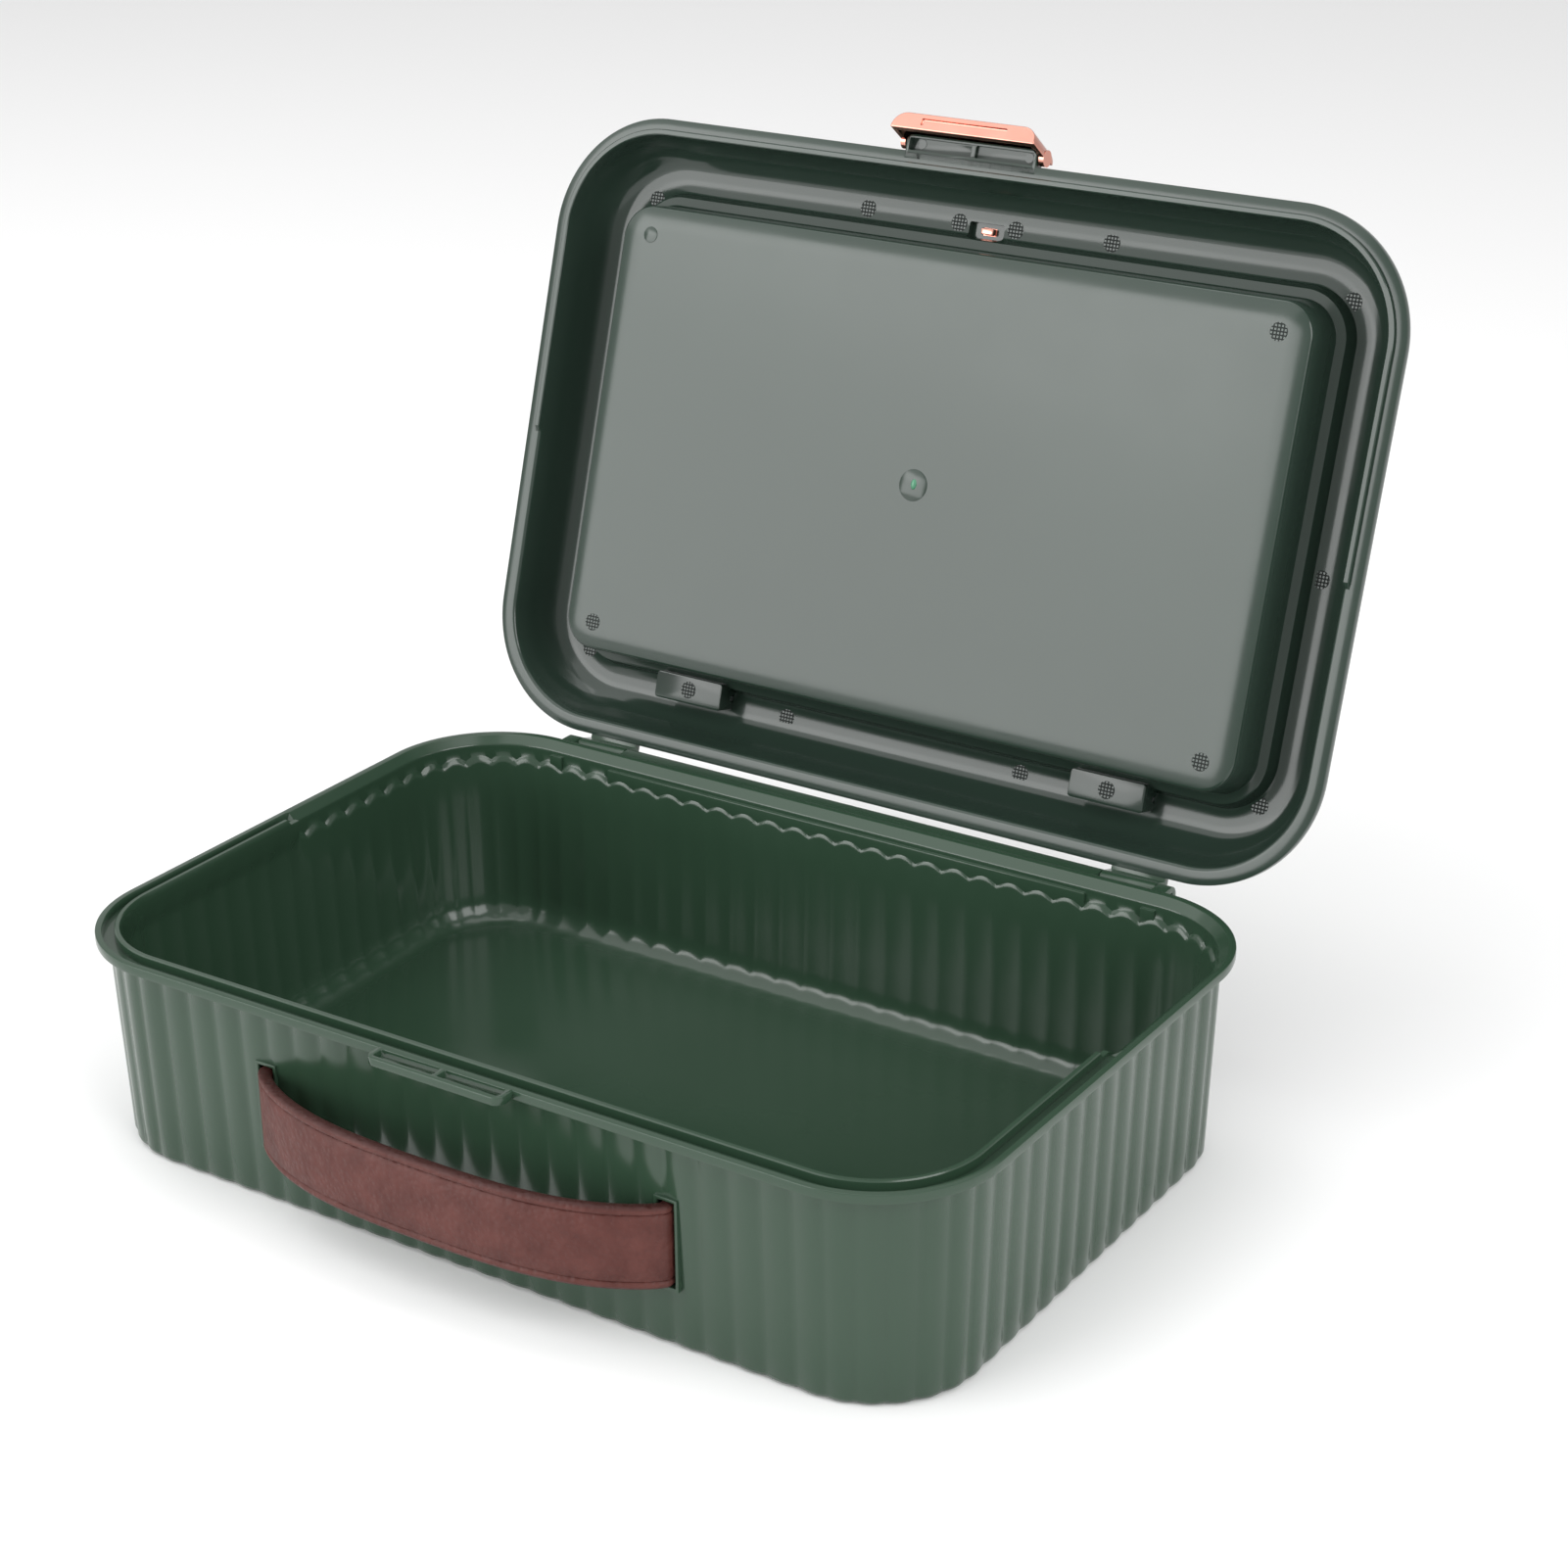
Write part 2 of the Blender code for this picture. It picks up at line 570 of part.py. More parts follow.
def add_lug(lid, home):
    """The lid's half of the catch, with two blind pockets and the clasp's two bosses."""
    lug = rounded_box((-CATCH_WIDTH / 2, CATCH_FRONT, RIM_PLANE),
                      (CATCH_WIDTH / 2, LID_FRONT + RIM_INNER / 2, RIM_PLANE + LUG_HEIGHT),
                      LUG_CORNER, in_front)
    combine(lid, place_mesh("lug", lug, home), "UNION")
    for side in (-1, 1):
        near = side * CATCH_RIB / 2
        far = side * (CATCH_WIDTH / 2 - LUG_WALL)
        pocket = box((min(near, far), CATCH_FRONT + LUG_WALL, RIM_PLANE - THROUGH),
                     (max(near, far), LID_FRONT - GAP, RIM_PLANE + LUG_POCKET_DEPTH))
        combine(lid, place_mesh("lug_pocket_%d" % (side + 2), pocket, home), "DIFFERENCE")
        inner = side * (CATCH_WIDTH / 2 - LUG_WALL / 2)
        outer = side * (CLASP_OUTER - GAP)
        boss = rod(min(inner, outer), max(inner, outer), CLASP_AXIS, CLASP_BOSS_RADIUS)
        combine(lid, place_mesh("clasp_boss_%d" % (side + 2), boss, home), "UNION")


def add_sockets(lid, home):
    """Pads inside the lid that hold the flap's two hinge sockets, open on the outside."""
    rear = LID_REAR - SOCKET_REAR
    mouth = LID_REAR - RECESS_EDGE
    floor = RIM_PLANE + SOCKET_FLOOR
    for side in (-1, 1):
        low = side * SOCKET_CENTRE - SOCKET_LENGTH / 2
        high = low + SOCKET_LENGTH
        label = "socket_%d" % (side + 2)
        pad = box((low - SOCKET_WALL, mouth - RECESS_FLOOR, floor - SOCKET_WALL),
                  (high + SOCKET_WALL, rear + SOCKET_WALL, CROWN - LID_WALL / 2))
        combine(lid, place_mesh(label + "_pad", pad, home), "UNION")
        front = mouth - RECESS_FLOOR + SOCKET_FRONT_WALL
        hollow = box((low, front, floor), (high, rear, CROWN + THROUGH))
        combine(lid, place_mesh(label, hollow, home), "DIFFERENCE")
        arm_floor = CROWN - FLAP_SET_DOWN - FLAP_THICKNESS - 2 * GAP
        passage = box((low, mouth - RECESS_LEDGE_WIDTH, arm_floor),
                      (high, front + THROUGH / 4, CROWN + THROUGH))
        combine(lid, place_mesh(label + "_passage", passage, home), "DIFFERENCE")
        bore = rod(low - THROUGH, high + THROUGH, FLAP_AXIS, FLAP_PIN_RADIUS + GAP)
        combine(lid, place_mesh(label + "_bore", bore, home), "DIFFERENCE")


def cut_snap_hole(lid, home):
    """The slot in the crown that the flap's snap tab pushes into."""
    start = LID_FRONT + SNAP_HOLE_INSET
    hole = box((-SNAP_HOLE_LENGTH / 2, start, CROWN - LID_WALL - THROUGH / 2),
               (SNAP_HOLE_LENGTH / 2, start + SNAP_HOLE_WIDTH, CROWN + THROUGH))
    combine(lid, place_mesh("snap_hole", hole, home), "DIFFERENCE")


def build_clasp(home, material):
    """A shallow cover open at the back, with a finger lip, a hook and two pivot ears."""
    front = CLASP_FRONT_FACE
    pivot_y = CLASP_AXIS.y
    bottom = RIM_PLANE - CLASP_BOTTOM
    top = RIM_PLANE + CLASP_TOP

    def front_edge(edge):
        return edge.verts[0].co.y < front + CLASP_FRONT / 2

    clasp = place_mesh("front_clasp", rounded_box(
        (-CLASP_OUTER, front, bottom), (CLASP_OUTER, pivot_y, top),
        CLASP_CORNER, front_edge), home, material)
    hollow = rounded_box((-CLASP_INNER, front + CLASP_FRONT, bottom + CLASP_LIP),
                         (CLASP_INNER, pivot_y + THROUGH, top - CLASP_WALL),
                         CLASP_CORNER - CLASP_WALL,
                         lambda edge: edge.verts[0].co.y < pivot_y)
    combine(clasp, place_mesh("clasp_hollow", hollow, home), "DIFFERENCE")
    lip = rounded_box((-CLASP_OUTER, front, bottom),
                      (CLASP_OUTER, front + CLASP_LIP_REACH, bottom + CLASP_LIP),
                      CLASP_CORNER, front_edge)
    combine(clasp, place_mesh("clasp_lip", lip, home), "UNION")
    hook_top = TUB_HEIGHT - CATCH_HEIGHT - GAP
    hook_back = CATCH_FRONT + CLASP_HOOK_REACH - 2 * GAP
    hook = box((-CLASP_INNER + CLASP_CORNER, front + CLASP_FRONT / 2, hook_top - CLASP_HOOK_HEIGHT),
               (CLASP_INNER - CLASP_CORNER, hook_back, hook_top))
    combine(clasp, place_mesh("clasp_hook", hook, home), "UNION")
    for side in (-1, 1):
        low = min(side * CLASP_INNER, side * CLASP_OUTER)
        high = max(side * CLASP_INNER, side * CLASP_OUTER)
        label = "clasp_ear_%d" % (side + 2)
        ear = rod(low, high, CLASP_AXIS, CLASP_EAR_RADIUS)
        combine(clasp, place_mesh(label, ear, home), "UNION")
        web = prism(low, high, [
            (pivot_y - GAP, bottom + GAP),
            (front + CLASP_LIP_REACH, bottom + GAP),
            (pivot_y + CLASP_EAR_RADIUS - GAP, CLASP_AXIS.z - GAP),
            (pivot_y - GAP, CLASP_AXIS.z)])
        combine(clasp, place_mesh(label + "_web", web, home), "UNION")
        bore = rod(low - THROUGH / 4, high + THROUGH, CLASP_AXIS, CLASP_BOSS_RADIUS + GAP)
        if side < 0:
            bmesh.ops.translate(bore, verts=bore.verts, vec=(THROUGH / 4 - THROUGH, 0, 0))
        combine(clasp, place_mesh(label + "_bore", bore, home), "DIFFERENCE")
    middle = front + CLASP_LIP_REACH / 2
    grip = box((-CLASP_GRIP_LENGTH / 2, middle - CLASP_GRIP_WIDTH / 2, bottom - THROUGH),
               (CLASP_GRIP_LENGTH / 2, middle + CLASP_GRIP_WIDTH / 2, bottom + CLASP_GRIP_DEPTH))
    combine(clasp, place_mesh("clasp_grip", grip, home), "DIFFERENCE")
    return clasp


def flap_ring(height, inward=0.0):
    """The flap's edge at a height above the rim plane, following the recess's riser."""
    run = RECESS_RISER * (LID_HEIGHT - height) / RECESS_LEDGE_DEPTH
    inset = RECESS_EDGE + FLAP_GAP + run + inward
    return outline(inset, LID_OVERHANG), RIM_PLANE + height


def build_flap(home, material):
    """The plate over the compartment, with a skirt below and two hinge ears behind."""
    top = LID_HEIGHT - FLAP_SET_DOWN
    under = top - FLAP_THICKNESS
    tip = LID_HEIGHT - RECESS_LEDGE_DEPTH + GAP
    flap = place_mesh("top_flap", loft([
        flap_ring(under, FLAP_SKIRT), flap_ring(tip, FLAP_SKIRT), flap_ring(tip),
        flap_ring(top)]), home, material)
    plate_rear = LID_REAR - RECESS_EDGE - FLAP_GAP
    for side in (-1, 1):
        low = side * SOCKET_CENTRE - SOCKET_LENGTH / 2 + GAP * 2
        high = side * SOCKET_CENTRE + SOCKET_LENGTH / 2 - GAP * 2
        label = "flap_ear_%d" % (side + 2)
        arm = prism(low, high, [
            (plate_rear - 2 * FLAP_SKIRT, RIM_PLANE + under),
            (FLAP_AXIS.y, RIM_PLANE + under),
            (FLAP_AXIS.y, FLAP_AXIS.z + FLAP_BARREL_RADIUS),
            (plate_rear - 2 * FLAP_SKIRT, FLAP_AXIS.z + FLAP_BARREL_RADIUS)])
        combine(flap, place_mesh(label, arm, home), "UNION")
        barrel = rod(low, high, FLAP_AXIS, FLAP_BARREL_RADIUS)
        combine(flap, place_mesh(label + "_barrel", barrel, home), "UNION")
        bore = rod(low - THROUGH, high + THROUGH, FLAP_AXIS, FLAP_PIN_RADIUS + GAP)
        combine(flap, place_mesh(label + "_bore", bore, home), "DIFFERENCE")
    return flap


def build_snap_tab(home, material):
    """The bright tab on the flap's front edge, with a leg down into the crown's slot."""
    hole_start = LID_FRONT + SNAP_HOLE_INSET
    leg_y = hole_start + (SNAP_HOLE_WIDTH - SNAP_LEG_THICKNESS) / 2
    low = CROWN + GAP
    tab = place_mesh("flap_snap_tab", rounded_box(
        (-SNAP_TAB_LENGTH / 2, hole_start - 2 * GAP, low),
        (SNAP_TAB_LENGTH / 2, hole_start + SNAP_TAB_REACH, low + SNAP_TAB_THICKNESS),
        CATCH_CORNER), home, material)
    leg = box((-SNAP_LEG_LENGTH / 2, leg_y, CROWN - LID_WALL + GAP),
              (SNAP_LEG_LENGTH / 2, leg_y + SNAP_LEG_THICKNESS, low + GAP))
    combine(tab, place_mesh("snap_leg", leg, home), "UNION")
    return tab


def strap_centre_line():
    """Plan points of the strap's middle: in through one slot, out in a bow and back."""
    half = HANDLE_SPAN / 2
    wall_face = FRONT + wall_inset(STRAP_MIDDLE)
    inner_face = FRONT + wall_inset(HANDLE_BOTTOM) + WALL + FLUTE_DEPTH
    inside = inner_face + STOP_TRAVEL + STOP_THICKNESS / 2
    start = wall_face - SLOT_FRAME_RISE - 2 * GAP
    bow = STRAP_BOW - STRAP_THICKNESS / 2 - (wall_face - start)
    points = [(-half, inside)]
    for step in range(BOW_STEPS + 1):
        angle = math.pi * step / BOW_STEPS
        x = -half * math.copysign(abs(math.cos(angle)) ** 0.8, math.cos(angle))
        y = start - bow * (1 - abs(x / half) ** 3) ** 0.83
        run = math.dist((abs(x), y), (half, start))
        if step in (0, BOW_STEPS) or run >= STRAP_BEND_RUN * STRAP_THICKNESS:
            points.append((x, y))
    points.append((half, inside))
    return points


def build_handle(home, material):
    """The strap as an upright band along its plan line, with a stop on each end."""
    line = [Vector((x, y, 0)) for x, y in strap_centre_line()]
    sides = ([], [])
    for place, point in enumerate(line):
        before = line[max(place - 1, 0)]
        after = line[min(place + 1, len(line) - 1)]
        run = (after - before).normalized()
        across = Vector((-run.y, run.x, 0)) * STRAP_THICKNESS / 2
        sides[0].append(point + across)
        sides[1].append(point - across)
    bm = bmesh.new()
    ring = [bm.verts.new((p.x, p.y, HANDLE_BOTTOM)) for p in sides[0] + sides[1][::-1]]
    grown = bmesh.ops.extrude_face_region(bm, geom=[bm.faces.new(ring)])
    raised = [part for part in grown["geom"] if isinstance(part, bmesh.types.BMVert)]
    bmesh.ops.translate(bm, verts=raised, vec=(0, 0, STRAP_HEIGHT))
    strap = place_mesh("carry_handle", bm, home, material)
    for side in (-1, 1):
        centre = side * HANDLE_SPAN / 2
        stop = box((centre - STOP_WIDTH / 2, line[0].y - STOP_THICKNESS / 2, HANDLE_BOTTOM),
                   (centre + STOP_WIDTH / 2, line[0].y + STOP_THICKNESS / 2,
                    HANDLE_BOTTOM + STRAP_HEIGHT))
        combine(strap, place_mesh("handle_stop_%d" % (side + 2), stop, home), "UNION")
    return strap


def build_pins(lid_home, material):
    """The lid's hinge pins stay with the tub; the flap's stay with the lid."""
    names = {-1: "left", 1: "right"}
    for side in (-1, 1):
        low, high = pin_span(side)
        pin = rod(low, high, HINGE_AXIS, HINGE_PIN_RADIUS, 12)
        place_mesh("lid_hinge_pin_" + names[side], pin, (None, Vector((0, 0, 0))), material)
        low = side * SOCKET_CENTRE - SOCKET_LENGTH / 2 - SOCKET_WALL + GAP
        high = side * SOCKET_CENTRE + SOCKET_LENGTH / 2 + SOCKET_WALL - GAP
        pin = rod(low, high, FLAP_AXIS, FLAP_PIN_RADIUS, 12)
        place_mesh("flap_hinge_pin_" + names[side], pin, lid_home, material)


clear_scene()
CASE = new_collection("fluted_carry_case")
TOOLS = new_collection("cutters")

green = new_material("green_plastic", GREEN, 0.35)
brown = new_material("brown_strap", BROWN, 0.55)
rose_gold = new_material("rose_gold_plating", ROSE_GOLD, 0.15, 1.0)
steel = new_material("steel", STEEL, 0.30, 1.0)

lid_axis = new_axis("lid_axis", HINGE_AXIS, degrees=-LID_OPEN_DEGREES)
clasp_axis = new_axis("clasp_axis", CLASP_AXIS, lid_axis, HINGE_AXIS, -CLASP_OPEN_DEGREES)
flap_axis = new_axis("flap_axis", FLAP_AXIS, lid_axis, HINGE_AXIS)
handle_place = Vector((0, FRONT + wall_inset(STRAP_MIDDLE), STRAP_MIDDLE))
handle_axis = new_axis("handle_axis", handle_place)

build_tub(green)
build_lid((lid_axis, HINGE_AXIS), green)
build_clasp((clasp_axis, CLASP_AXIS), rose_gold)
build_flap((flap_axis, FLAP_AXIS), green)
build_snap_tab((flap_axis, FLAP_AXIS), rose_gold)
build_handle((handle_axis, handle_place), brown)
build_pins((lid_axis, HINGE_AXIS), steel)
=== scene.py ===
"""A fishing tackle box: a green moulded tub with fluted walls, a domed lid held open on
two hinges, a brown strap handle, a rose gold clasp, and a flap over the shallow
compartment in the lid's crown.

Lengths are metres. Pieces on the lid are drawn with the case shut and then swung open
about the lid's hinge axis, so their heights are counted up from the lid's rim plane.
"""
import json
import math

import bmesh
import bpy
from mathutils import Matrix, Vector


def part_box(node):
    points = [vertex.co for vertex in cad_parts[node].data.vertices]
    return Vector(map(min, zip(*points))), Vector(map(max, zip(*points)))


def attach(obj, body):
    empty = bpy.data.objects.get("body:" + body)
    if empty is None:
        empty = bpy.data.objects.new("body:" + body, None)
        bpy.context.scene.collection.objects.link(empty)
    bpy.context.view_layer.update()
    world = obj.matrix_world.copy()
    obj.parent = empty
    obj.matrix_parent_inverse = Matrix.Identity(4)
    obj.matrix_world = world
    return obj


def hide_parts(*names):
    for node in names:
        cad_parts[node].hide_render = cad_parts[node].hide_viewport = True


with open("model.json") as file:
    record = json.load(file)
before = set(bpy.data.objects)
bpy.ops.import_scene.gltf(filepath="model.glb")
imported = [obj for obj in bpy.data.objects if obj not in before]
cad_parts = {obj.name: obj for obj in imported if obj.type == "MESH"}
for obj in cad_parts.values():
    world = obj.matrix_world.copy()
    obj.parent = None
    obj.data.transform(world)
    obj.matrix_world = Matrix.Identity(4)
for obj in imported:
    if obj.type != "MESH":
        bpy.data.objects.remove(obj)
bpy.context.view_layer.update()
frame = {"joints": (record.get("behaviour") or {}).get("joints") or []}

# ---- Case -------------------------------------------------------------------------------
TUB_LOW, TUB_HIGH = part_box("tub")
RIM_WIDTH = TUB_HIGH.x - TUB_LOW.x
RIM_DEPTH = 0.201
RIM_TOP = 0.067
RIM_GAP = 0.0004
CORNER_RADIUS = 0.038
RIM_PLANE = RIM_TOP + RIM_GAP
FRONT = -RIM_DEPTH / 2
REAR = RIM_DEPTH / 2
EDGE = 0.00035                  # softening on moulded edges

# ---- Fluted wall ------------------------------------------------------------------------
FLUTES = 96
STEPS_PER_FLUTE = 8
FLUTE_DEPTH = 0.0007
INNER_FLUTE_SHARE = 0.70
WALL = 0.0020
WALL_INSET = 0.0038             # rim edge to the flutes' crests, just under the flange
WALL_DRAFT = 0.0022
WALL_TOP = 0.0640

# ---- Lid --------------------------------------------------------------------------------
OVERHANG = 0.0009
LID_STEPS = 480
LID_HEIGHT = 0.0207
LID_REAR = REAR + OVERHANG
LID_FRONT = FRONT - OVERHANG
TROUGH_FLOOR = 0.0184
PANEL_FACE = -0.0015
PAD_FACE = 0.0101
RIB_END = 0.0052
TONGUE_END = 0.0007
GROOVE_END = 0.0056

# ---- Where things turn, from the frame --------------------------------------------------
JOINTS = {joint["name"]: joint for joint in frame["joints"]}


def turned(place, degrees):
    """A turn about the line along X through a place."""
    swing = Matrix.Rotation(math.radians(degrees), 4, "X")
    return Matrix.Translation(place) @ swing @ Matrix.Translation(-place)


LID_AXIS = Vector(JOINTS["lid_hinge"]["pos_m"])
LID_SWING = JOINTS["lid_hinge"]["range_deg"][1]
LID_OPEN = turned(LID_AXIS, -LID_SWING)
CLASP_AXIS = LID_OPEN.inverted() @ Vector(JOINTS["clasp_pivot"]["pos_m"])
CLASP_TIPPED = LID_OPEN @ turned(CLASP_AXIS, -JOINTS["clasp_pivot"]["range_deg"][1])
FLAP_AXIS = LID_OPEN.inverted() @ Vector(JOINTS["flap_hinge"]["pos_m"])


# ---- Modelling helpers ------------------------------------------------------------------
def box(low, high):
    """A block between two corners."""
    bm = bmesh.new()
    bmesh.ops.create_cube(bm, size=1.0)
    low = Vector(low)
    high = Vector(high)
    bmesh.ops.scale(bm, verts=bm.verts, vec=high - low)
    bmesh.ops.translate(bm, verts=bm.verts, vec=(low + high) / 2)
    return bm


def soften(bm, width, segments=2, keep=lambda edge: True):
    """Round the creased edges that keep accepts."""
    creased = [edge for edge in bm.edges
               if edge.is_manifold and edge.calc_face_angle(0.0) > math.radians(30) and keep(edge)]
    bmesh.ops.bevel(bm, geom=creased, offset=width, segments=segments, profile=0.5,
                    affect="EDGES", clamp_overlap=True, material=-1)
    return bm


def upright(edge):
    """Does the edge run straight up?"""
    run = (edge.verts[0].co - edge.verts[1].co).normalized()
    return abs(run.z) > 0.99


def rod(x_low, x_high, centre, radius, sides=32):
    """A round bar along X."""
    bm = bmesh.new()
    bmesh.ops.create_cone(bm, cap_ends=True, segments=sides, radius1=radius,
                          radius2=radius, depth=x_high - x_low)
    bmesh.ops.rotate(bm, verts=bm.verts, matrix=Matrix.Rotation(math.pi / 2, 3, "Y"))
    bmesh.ops.translate(bm, verts=bm.verts,
                        vec=((x_low + x_high) / 2, centre.y, centre.z))
    return bm


def prism(x_low, x_high, side_points):
    """A side profile of (y, z) points carried across from x_low to x_high."""
    bm = bmesh.new()
    ring = [bm.verts.new((x_low, y, z)) for y, z in side_points]
    grown = bmesh.ops.extrude_face_region(bm, geom=[bm.faces.new(ring)])
    moved = [part for part in grown["geom"] if isinstance(part, bmesh.types.BMVert)]
    bmesh.ops.translate(bm, verts=moved, vec=(x_high - x_low, 0, 0))
    bmesh.ops.recalc_face_normals(bm, faces=bm.faces)
    return bm


def mirrored(side, near, far):
    """An X range on one side of the centre line, in rising order."""
    return (near, far) if side > 0 else (-far, -near)


def merged(*parts):
    """Several bmeshes as one."""
    whole = bmesh.new()
    for part in parts:
        mesh = bpy.data.meshes.new("part")
        part.to_mesh(mesh)
        part.free()
        whole.from_mesh(mesh)
        bpy.data.meshes.remove(mesh)
    return whole


def carved(body, tool, operation="DIFFERENCE"):
    """The body after a Boolean with a tool."""
    things = []
    for label, bm in (("body", body), ("tool", tool)):
        mesh = bpy.data.meshes.new(label)
        bm.to_mesh(mesh)
        bm.free()
        thing = bpy.data.objects.new(label, mesh)
        bpy.context.scene.collection.objects.link(thing)
        things.append(thing)
    step = things[0].modifiers.new("carve", "BOOLEAN")
    step.operation = operation
    step.solver = "EXACT"
    step.object = things[1]
    ready = things[0].evaluated_get(bpy.context.evaluated_depsgraph_get())
    result = bmesh.new()
    result.from_mesh(ready.to_mesh())
    ready.to_mesh_clear()
    for thing in things:
        mesh = thing.data
        bpy.data.objects.remove(thing)
        bpy.data.meshes.remove(mesh)
    return result


def finished(name, bm, body, material, stands_for=(), place=None, crease=35):
    """Put a modelled piece into the scene, on its body and in its finish."""
    if place is not None:
        bmesh.ops.transform(bm, matrix=place, verts=bm.verts)
    mesh = bpy.data.meshes.new(name)
    bm.to_mesh(mesh)
    bm.free()
    mesh.shade_smooth()
    mesh.set_sharp_from_angle(angle=math.radians(crease))
    mesh.materials.append(material)
    thing = bpy.data.objects.new(name, mesh)
    bpy.context.scene.collection.objects.link(thing)
    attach(thing, body)
    if stands_for:
        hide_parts(*stands_for)
    return thing


# ---- Rounded outline that tub, lid and flap share ---------------------------------------
def rim_spot(share):
    """Place and outward direction on the tub's rim edge, a share of the way round from
    the middle of the front."""
    flat_x = RIM_WIDTH / 2 - CORNER_RADIUS
    flat_y = RIM_DEPTH / 2 - CORNER_RADIUS
    arc = CORNER_RADIUS * math.pi / 2
    quarter_length = flat_x + flat_y + arc
    travel = (share % 1.0) * 4 * quarter_length
    quarter = min(int(travel // quarter_length), 3)
    travel -= quarter * quarter_length
    if quarter % 2 == 1:
        travel = quarter_length - travel
    if travel <= flat_x:
        spot = Vector((travel, -(flat_y + CORNER_RADIUS), 0))
        outward = Vector((0, -1, 0))
    elif travel <= flat_x + arc:
        angle = (travel - flat_x) / CORNER_RADIUS - math.pi / 2
        outward = Vector((math.cos(angle), math.sin(angle), 0))
        spot = Vector((flat_x, -flat_y, 0)) + outward * CORNER_RADIUS
    else:
        spot = Vector((flat_x + CORNER_RADIUS, travel - flat_x - arc - flat_y, 0))
        outward = Vector((1, 0, 0))
    side = Vector((1 if quarter in (0, 1) else -1, 1 if quarter in (0, 3) else -1, 1))
    return spot * side, outward * side


def numbered_ring(steps):
    """A ring whose corners carry their order round it, which the rings grown from it keep."""
    bm = bmesh.new()
    bmesh.ops.create_circle(bm, cap_ends=False, segments=steps, radius=1.0)
    way = bm.verts.layers.float.new("way_round")
    for order, vert in enumerate(bm.verts):
        vert[way] = order
    return bm, way


def grow_shell(bm, rings, settle):
    """Grow a ring into a closed shell of so many rings. Settle is given the corners of
    each ring and its order, and moves them to their places."""
    edges = bm.edges[:]
    settle({vert for edge in edges for vert in edge.verts}, 0)
    bmesh.ops.contextual_create(bm, geom=edges)
    for ring in range(1, rings):
        grown = bmesh.ops.extrude_edge_only(bm, edges=edges)["geom"]
        fresh = {part for part in grown if isinstance(part, bmesh.types.BMVert)}
        edges = [part for part in grown if isinstance(part, bmesh.types.BMEdge)
                 and part.verts[0] in fresh and part.verts[1] in fresh]
        settle(fresh, ring)
    bmesh.ops.contextual_create(bm, geom=edges)
    bmesh.ops.recalc_face_normals(bm, faces=bm.faces)


def skin(steps, stations):
    """A closed shell that follows the outline; each station gives one ring's (inset, height)
    for a share of the way round and a place on the rim."""
    bm, way = numbered_ring(steps)
    spots = [rim_spot(order / steps) for order in range(steps)]

    def settle(verts, ring):
        for vert in verts:
            order = round(vert[way])
            spot, outward = spots[order]
            inset, height = stations[ring](order / steps, spot)
            vert.co = spot - outward * inset + Vector((0, 0, height))

    grow_shell(bm, len(stations), settle)
    return bm


def level(inset, height):
    """A station that is the same all the way round."""
    return lambda share, spot: (inset, height)


def split_level(front, rear, y_end):
    """A station with one place on the front part and another behind y_end."""
    return lambda share, spot: front if spot.y < y_end else rear


# ---- Tub --------------------------------------------------------------------------------
def valley(share):
    """0 on a flute's crest and 1 in the valley between two flutes."""
    within = (share * FLUTES) % 1.0
    return 1.0 - math.sin(math.pi * within)


def fluted(inset, height, strength):
    """A station whose inset follows the flutes, at a share of their full depth."""
    def station(share, spot):
        return inset + strength * FLUTE_DEPTH * valley(share), height
    return station


def shouldered(front, rear):
    """Flutes that fade into the rim in front, and end in round shoulders behind."""
    fade = fluted(front[0], front[1], front[2] * INNER_FLUTE_SHARE)

    def station(share, spot):
        if spot.y < GROOVE_END:
            return fade(share, spot)
        return rear[0], rear[1] + rear[2] * (1.0 - valley(share))
    return station


def wall_inset(height):
    """How far in from the rim's edge the flutes' crests stand at this height."""
    return WALL_INSET + WALL_DRAFT * (1 - height / WALL_TOP)


def tub_stations():
    """From the underside out, up the fluted wall, over the rim and down inside."""
    foot = [(0.0100, 0.0, 0.0), (0.0022, 0.0, 1.0), (0.0012, 0.0003, 1.0),
            (0.0004, 0.0010, 1.0), (0.0, 0.0022, 1.0)]
    stations = [fluted(wall_inset(z) + extra, z, deep) for extra, z, deep in foot]
    for z in (0.010, 0.022, 0.034, 0.046, 0.056, 0.0618):
        stations.append(fluted(wall_inset(z), z, 1.0))
    for inset, z, deep in ((0.0037, 0.0628, 0.9), (0.0032, 0.0635, 0.55), (0.0020, 0.0639, 0.2),
                           (0.0006, 0.0640, 0.0)):
        stations.append(fluted(inset, z, deep))
    stations += [level(0.0001, 0.0642), level(0.0, 0.0646), level(0.0, RIM_TOP - EDGE),
                 level(0.0001, RIM_TOP - 0.0001), level(0.0004, RIM_TOP)]
    stations += rim_seal()
    inner_top = [((0.0074, 0.0634, 0.0), (0.0049, 0.0630, 0.0)),
                 ((0.0072, 0.0615, 0.15), (0.0050, 0.0590, 0.0020)),
                 ((0.0068, 0.0595, 0.6), (0.0054, 0.0584, 0.0020)),
                 ((0.0062, 0.0575, 1.0), (0.0060, 0.0577, 0.0019)),
                 ((0.0060, 0.0555, 1.0), (0.0063, 0.0566, 0.0016))]
    for front, rear in inner_top:
        stations.append(shouldered(front, rear))
    for z in (0.046, 0.034, 0.022, 0.0115):
        stations.append(fluted(wall_inset(z) + WALL, z, INNER_FLUTE_SHARE))
    for extra, z, deep in ((0.0003, 0.0085, 1.0), (0.0009, 0.0064, 1.0), (0.0020, 0.0045, 0.8),
                           (0.0036, 0.0030, 0.45), (0.0054, 0.0022, 0.15), (0.0074, WALL, 0.0),
                           (0.0120, WALL, 0.0)):
        stations.append(fluted(wall_inset(z) + WALL + extra, z, deep * INNER_FLUTE_SHARE))
    return stations


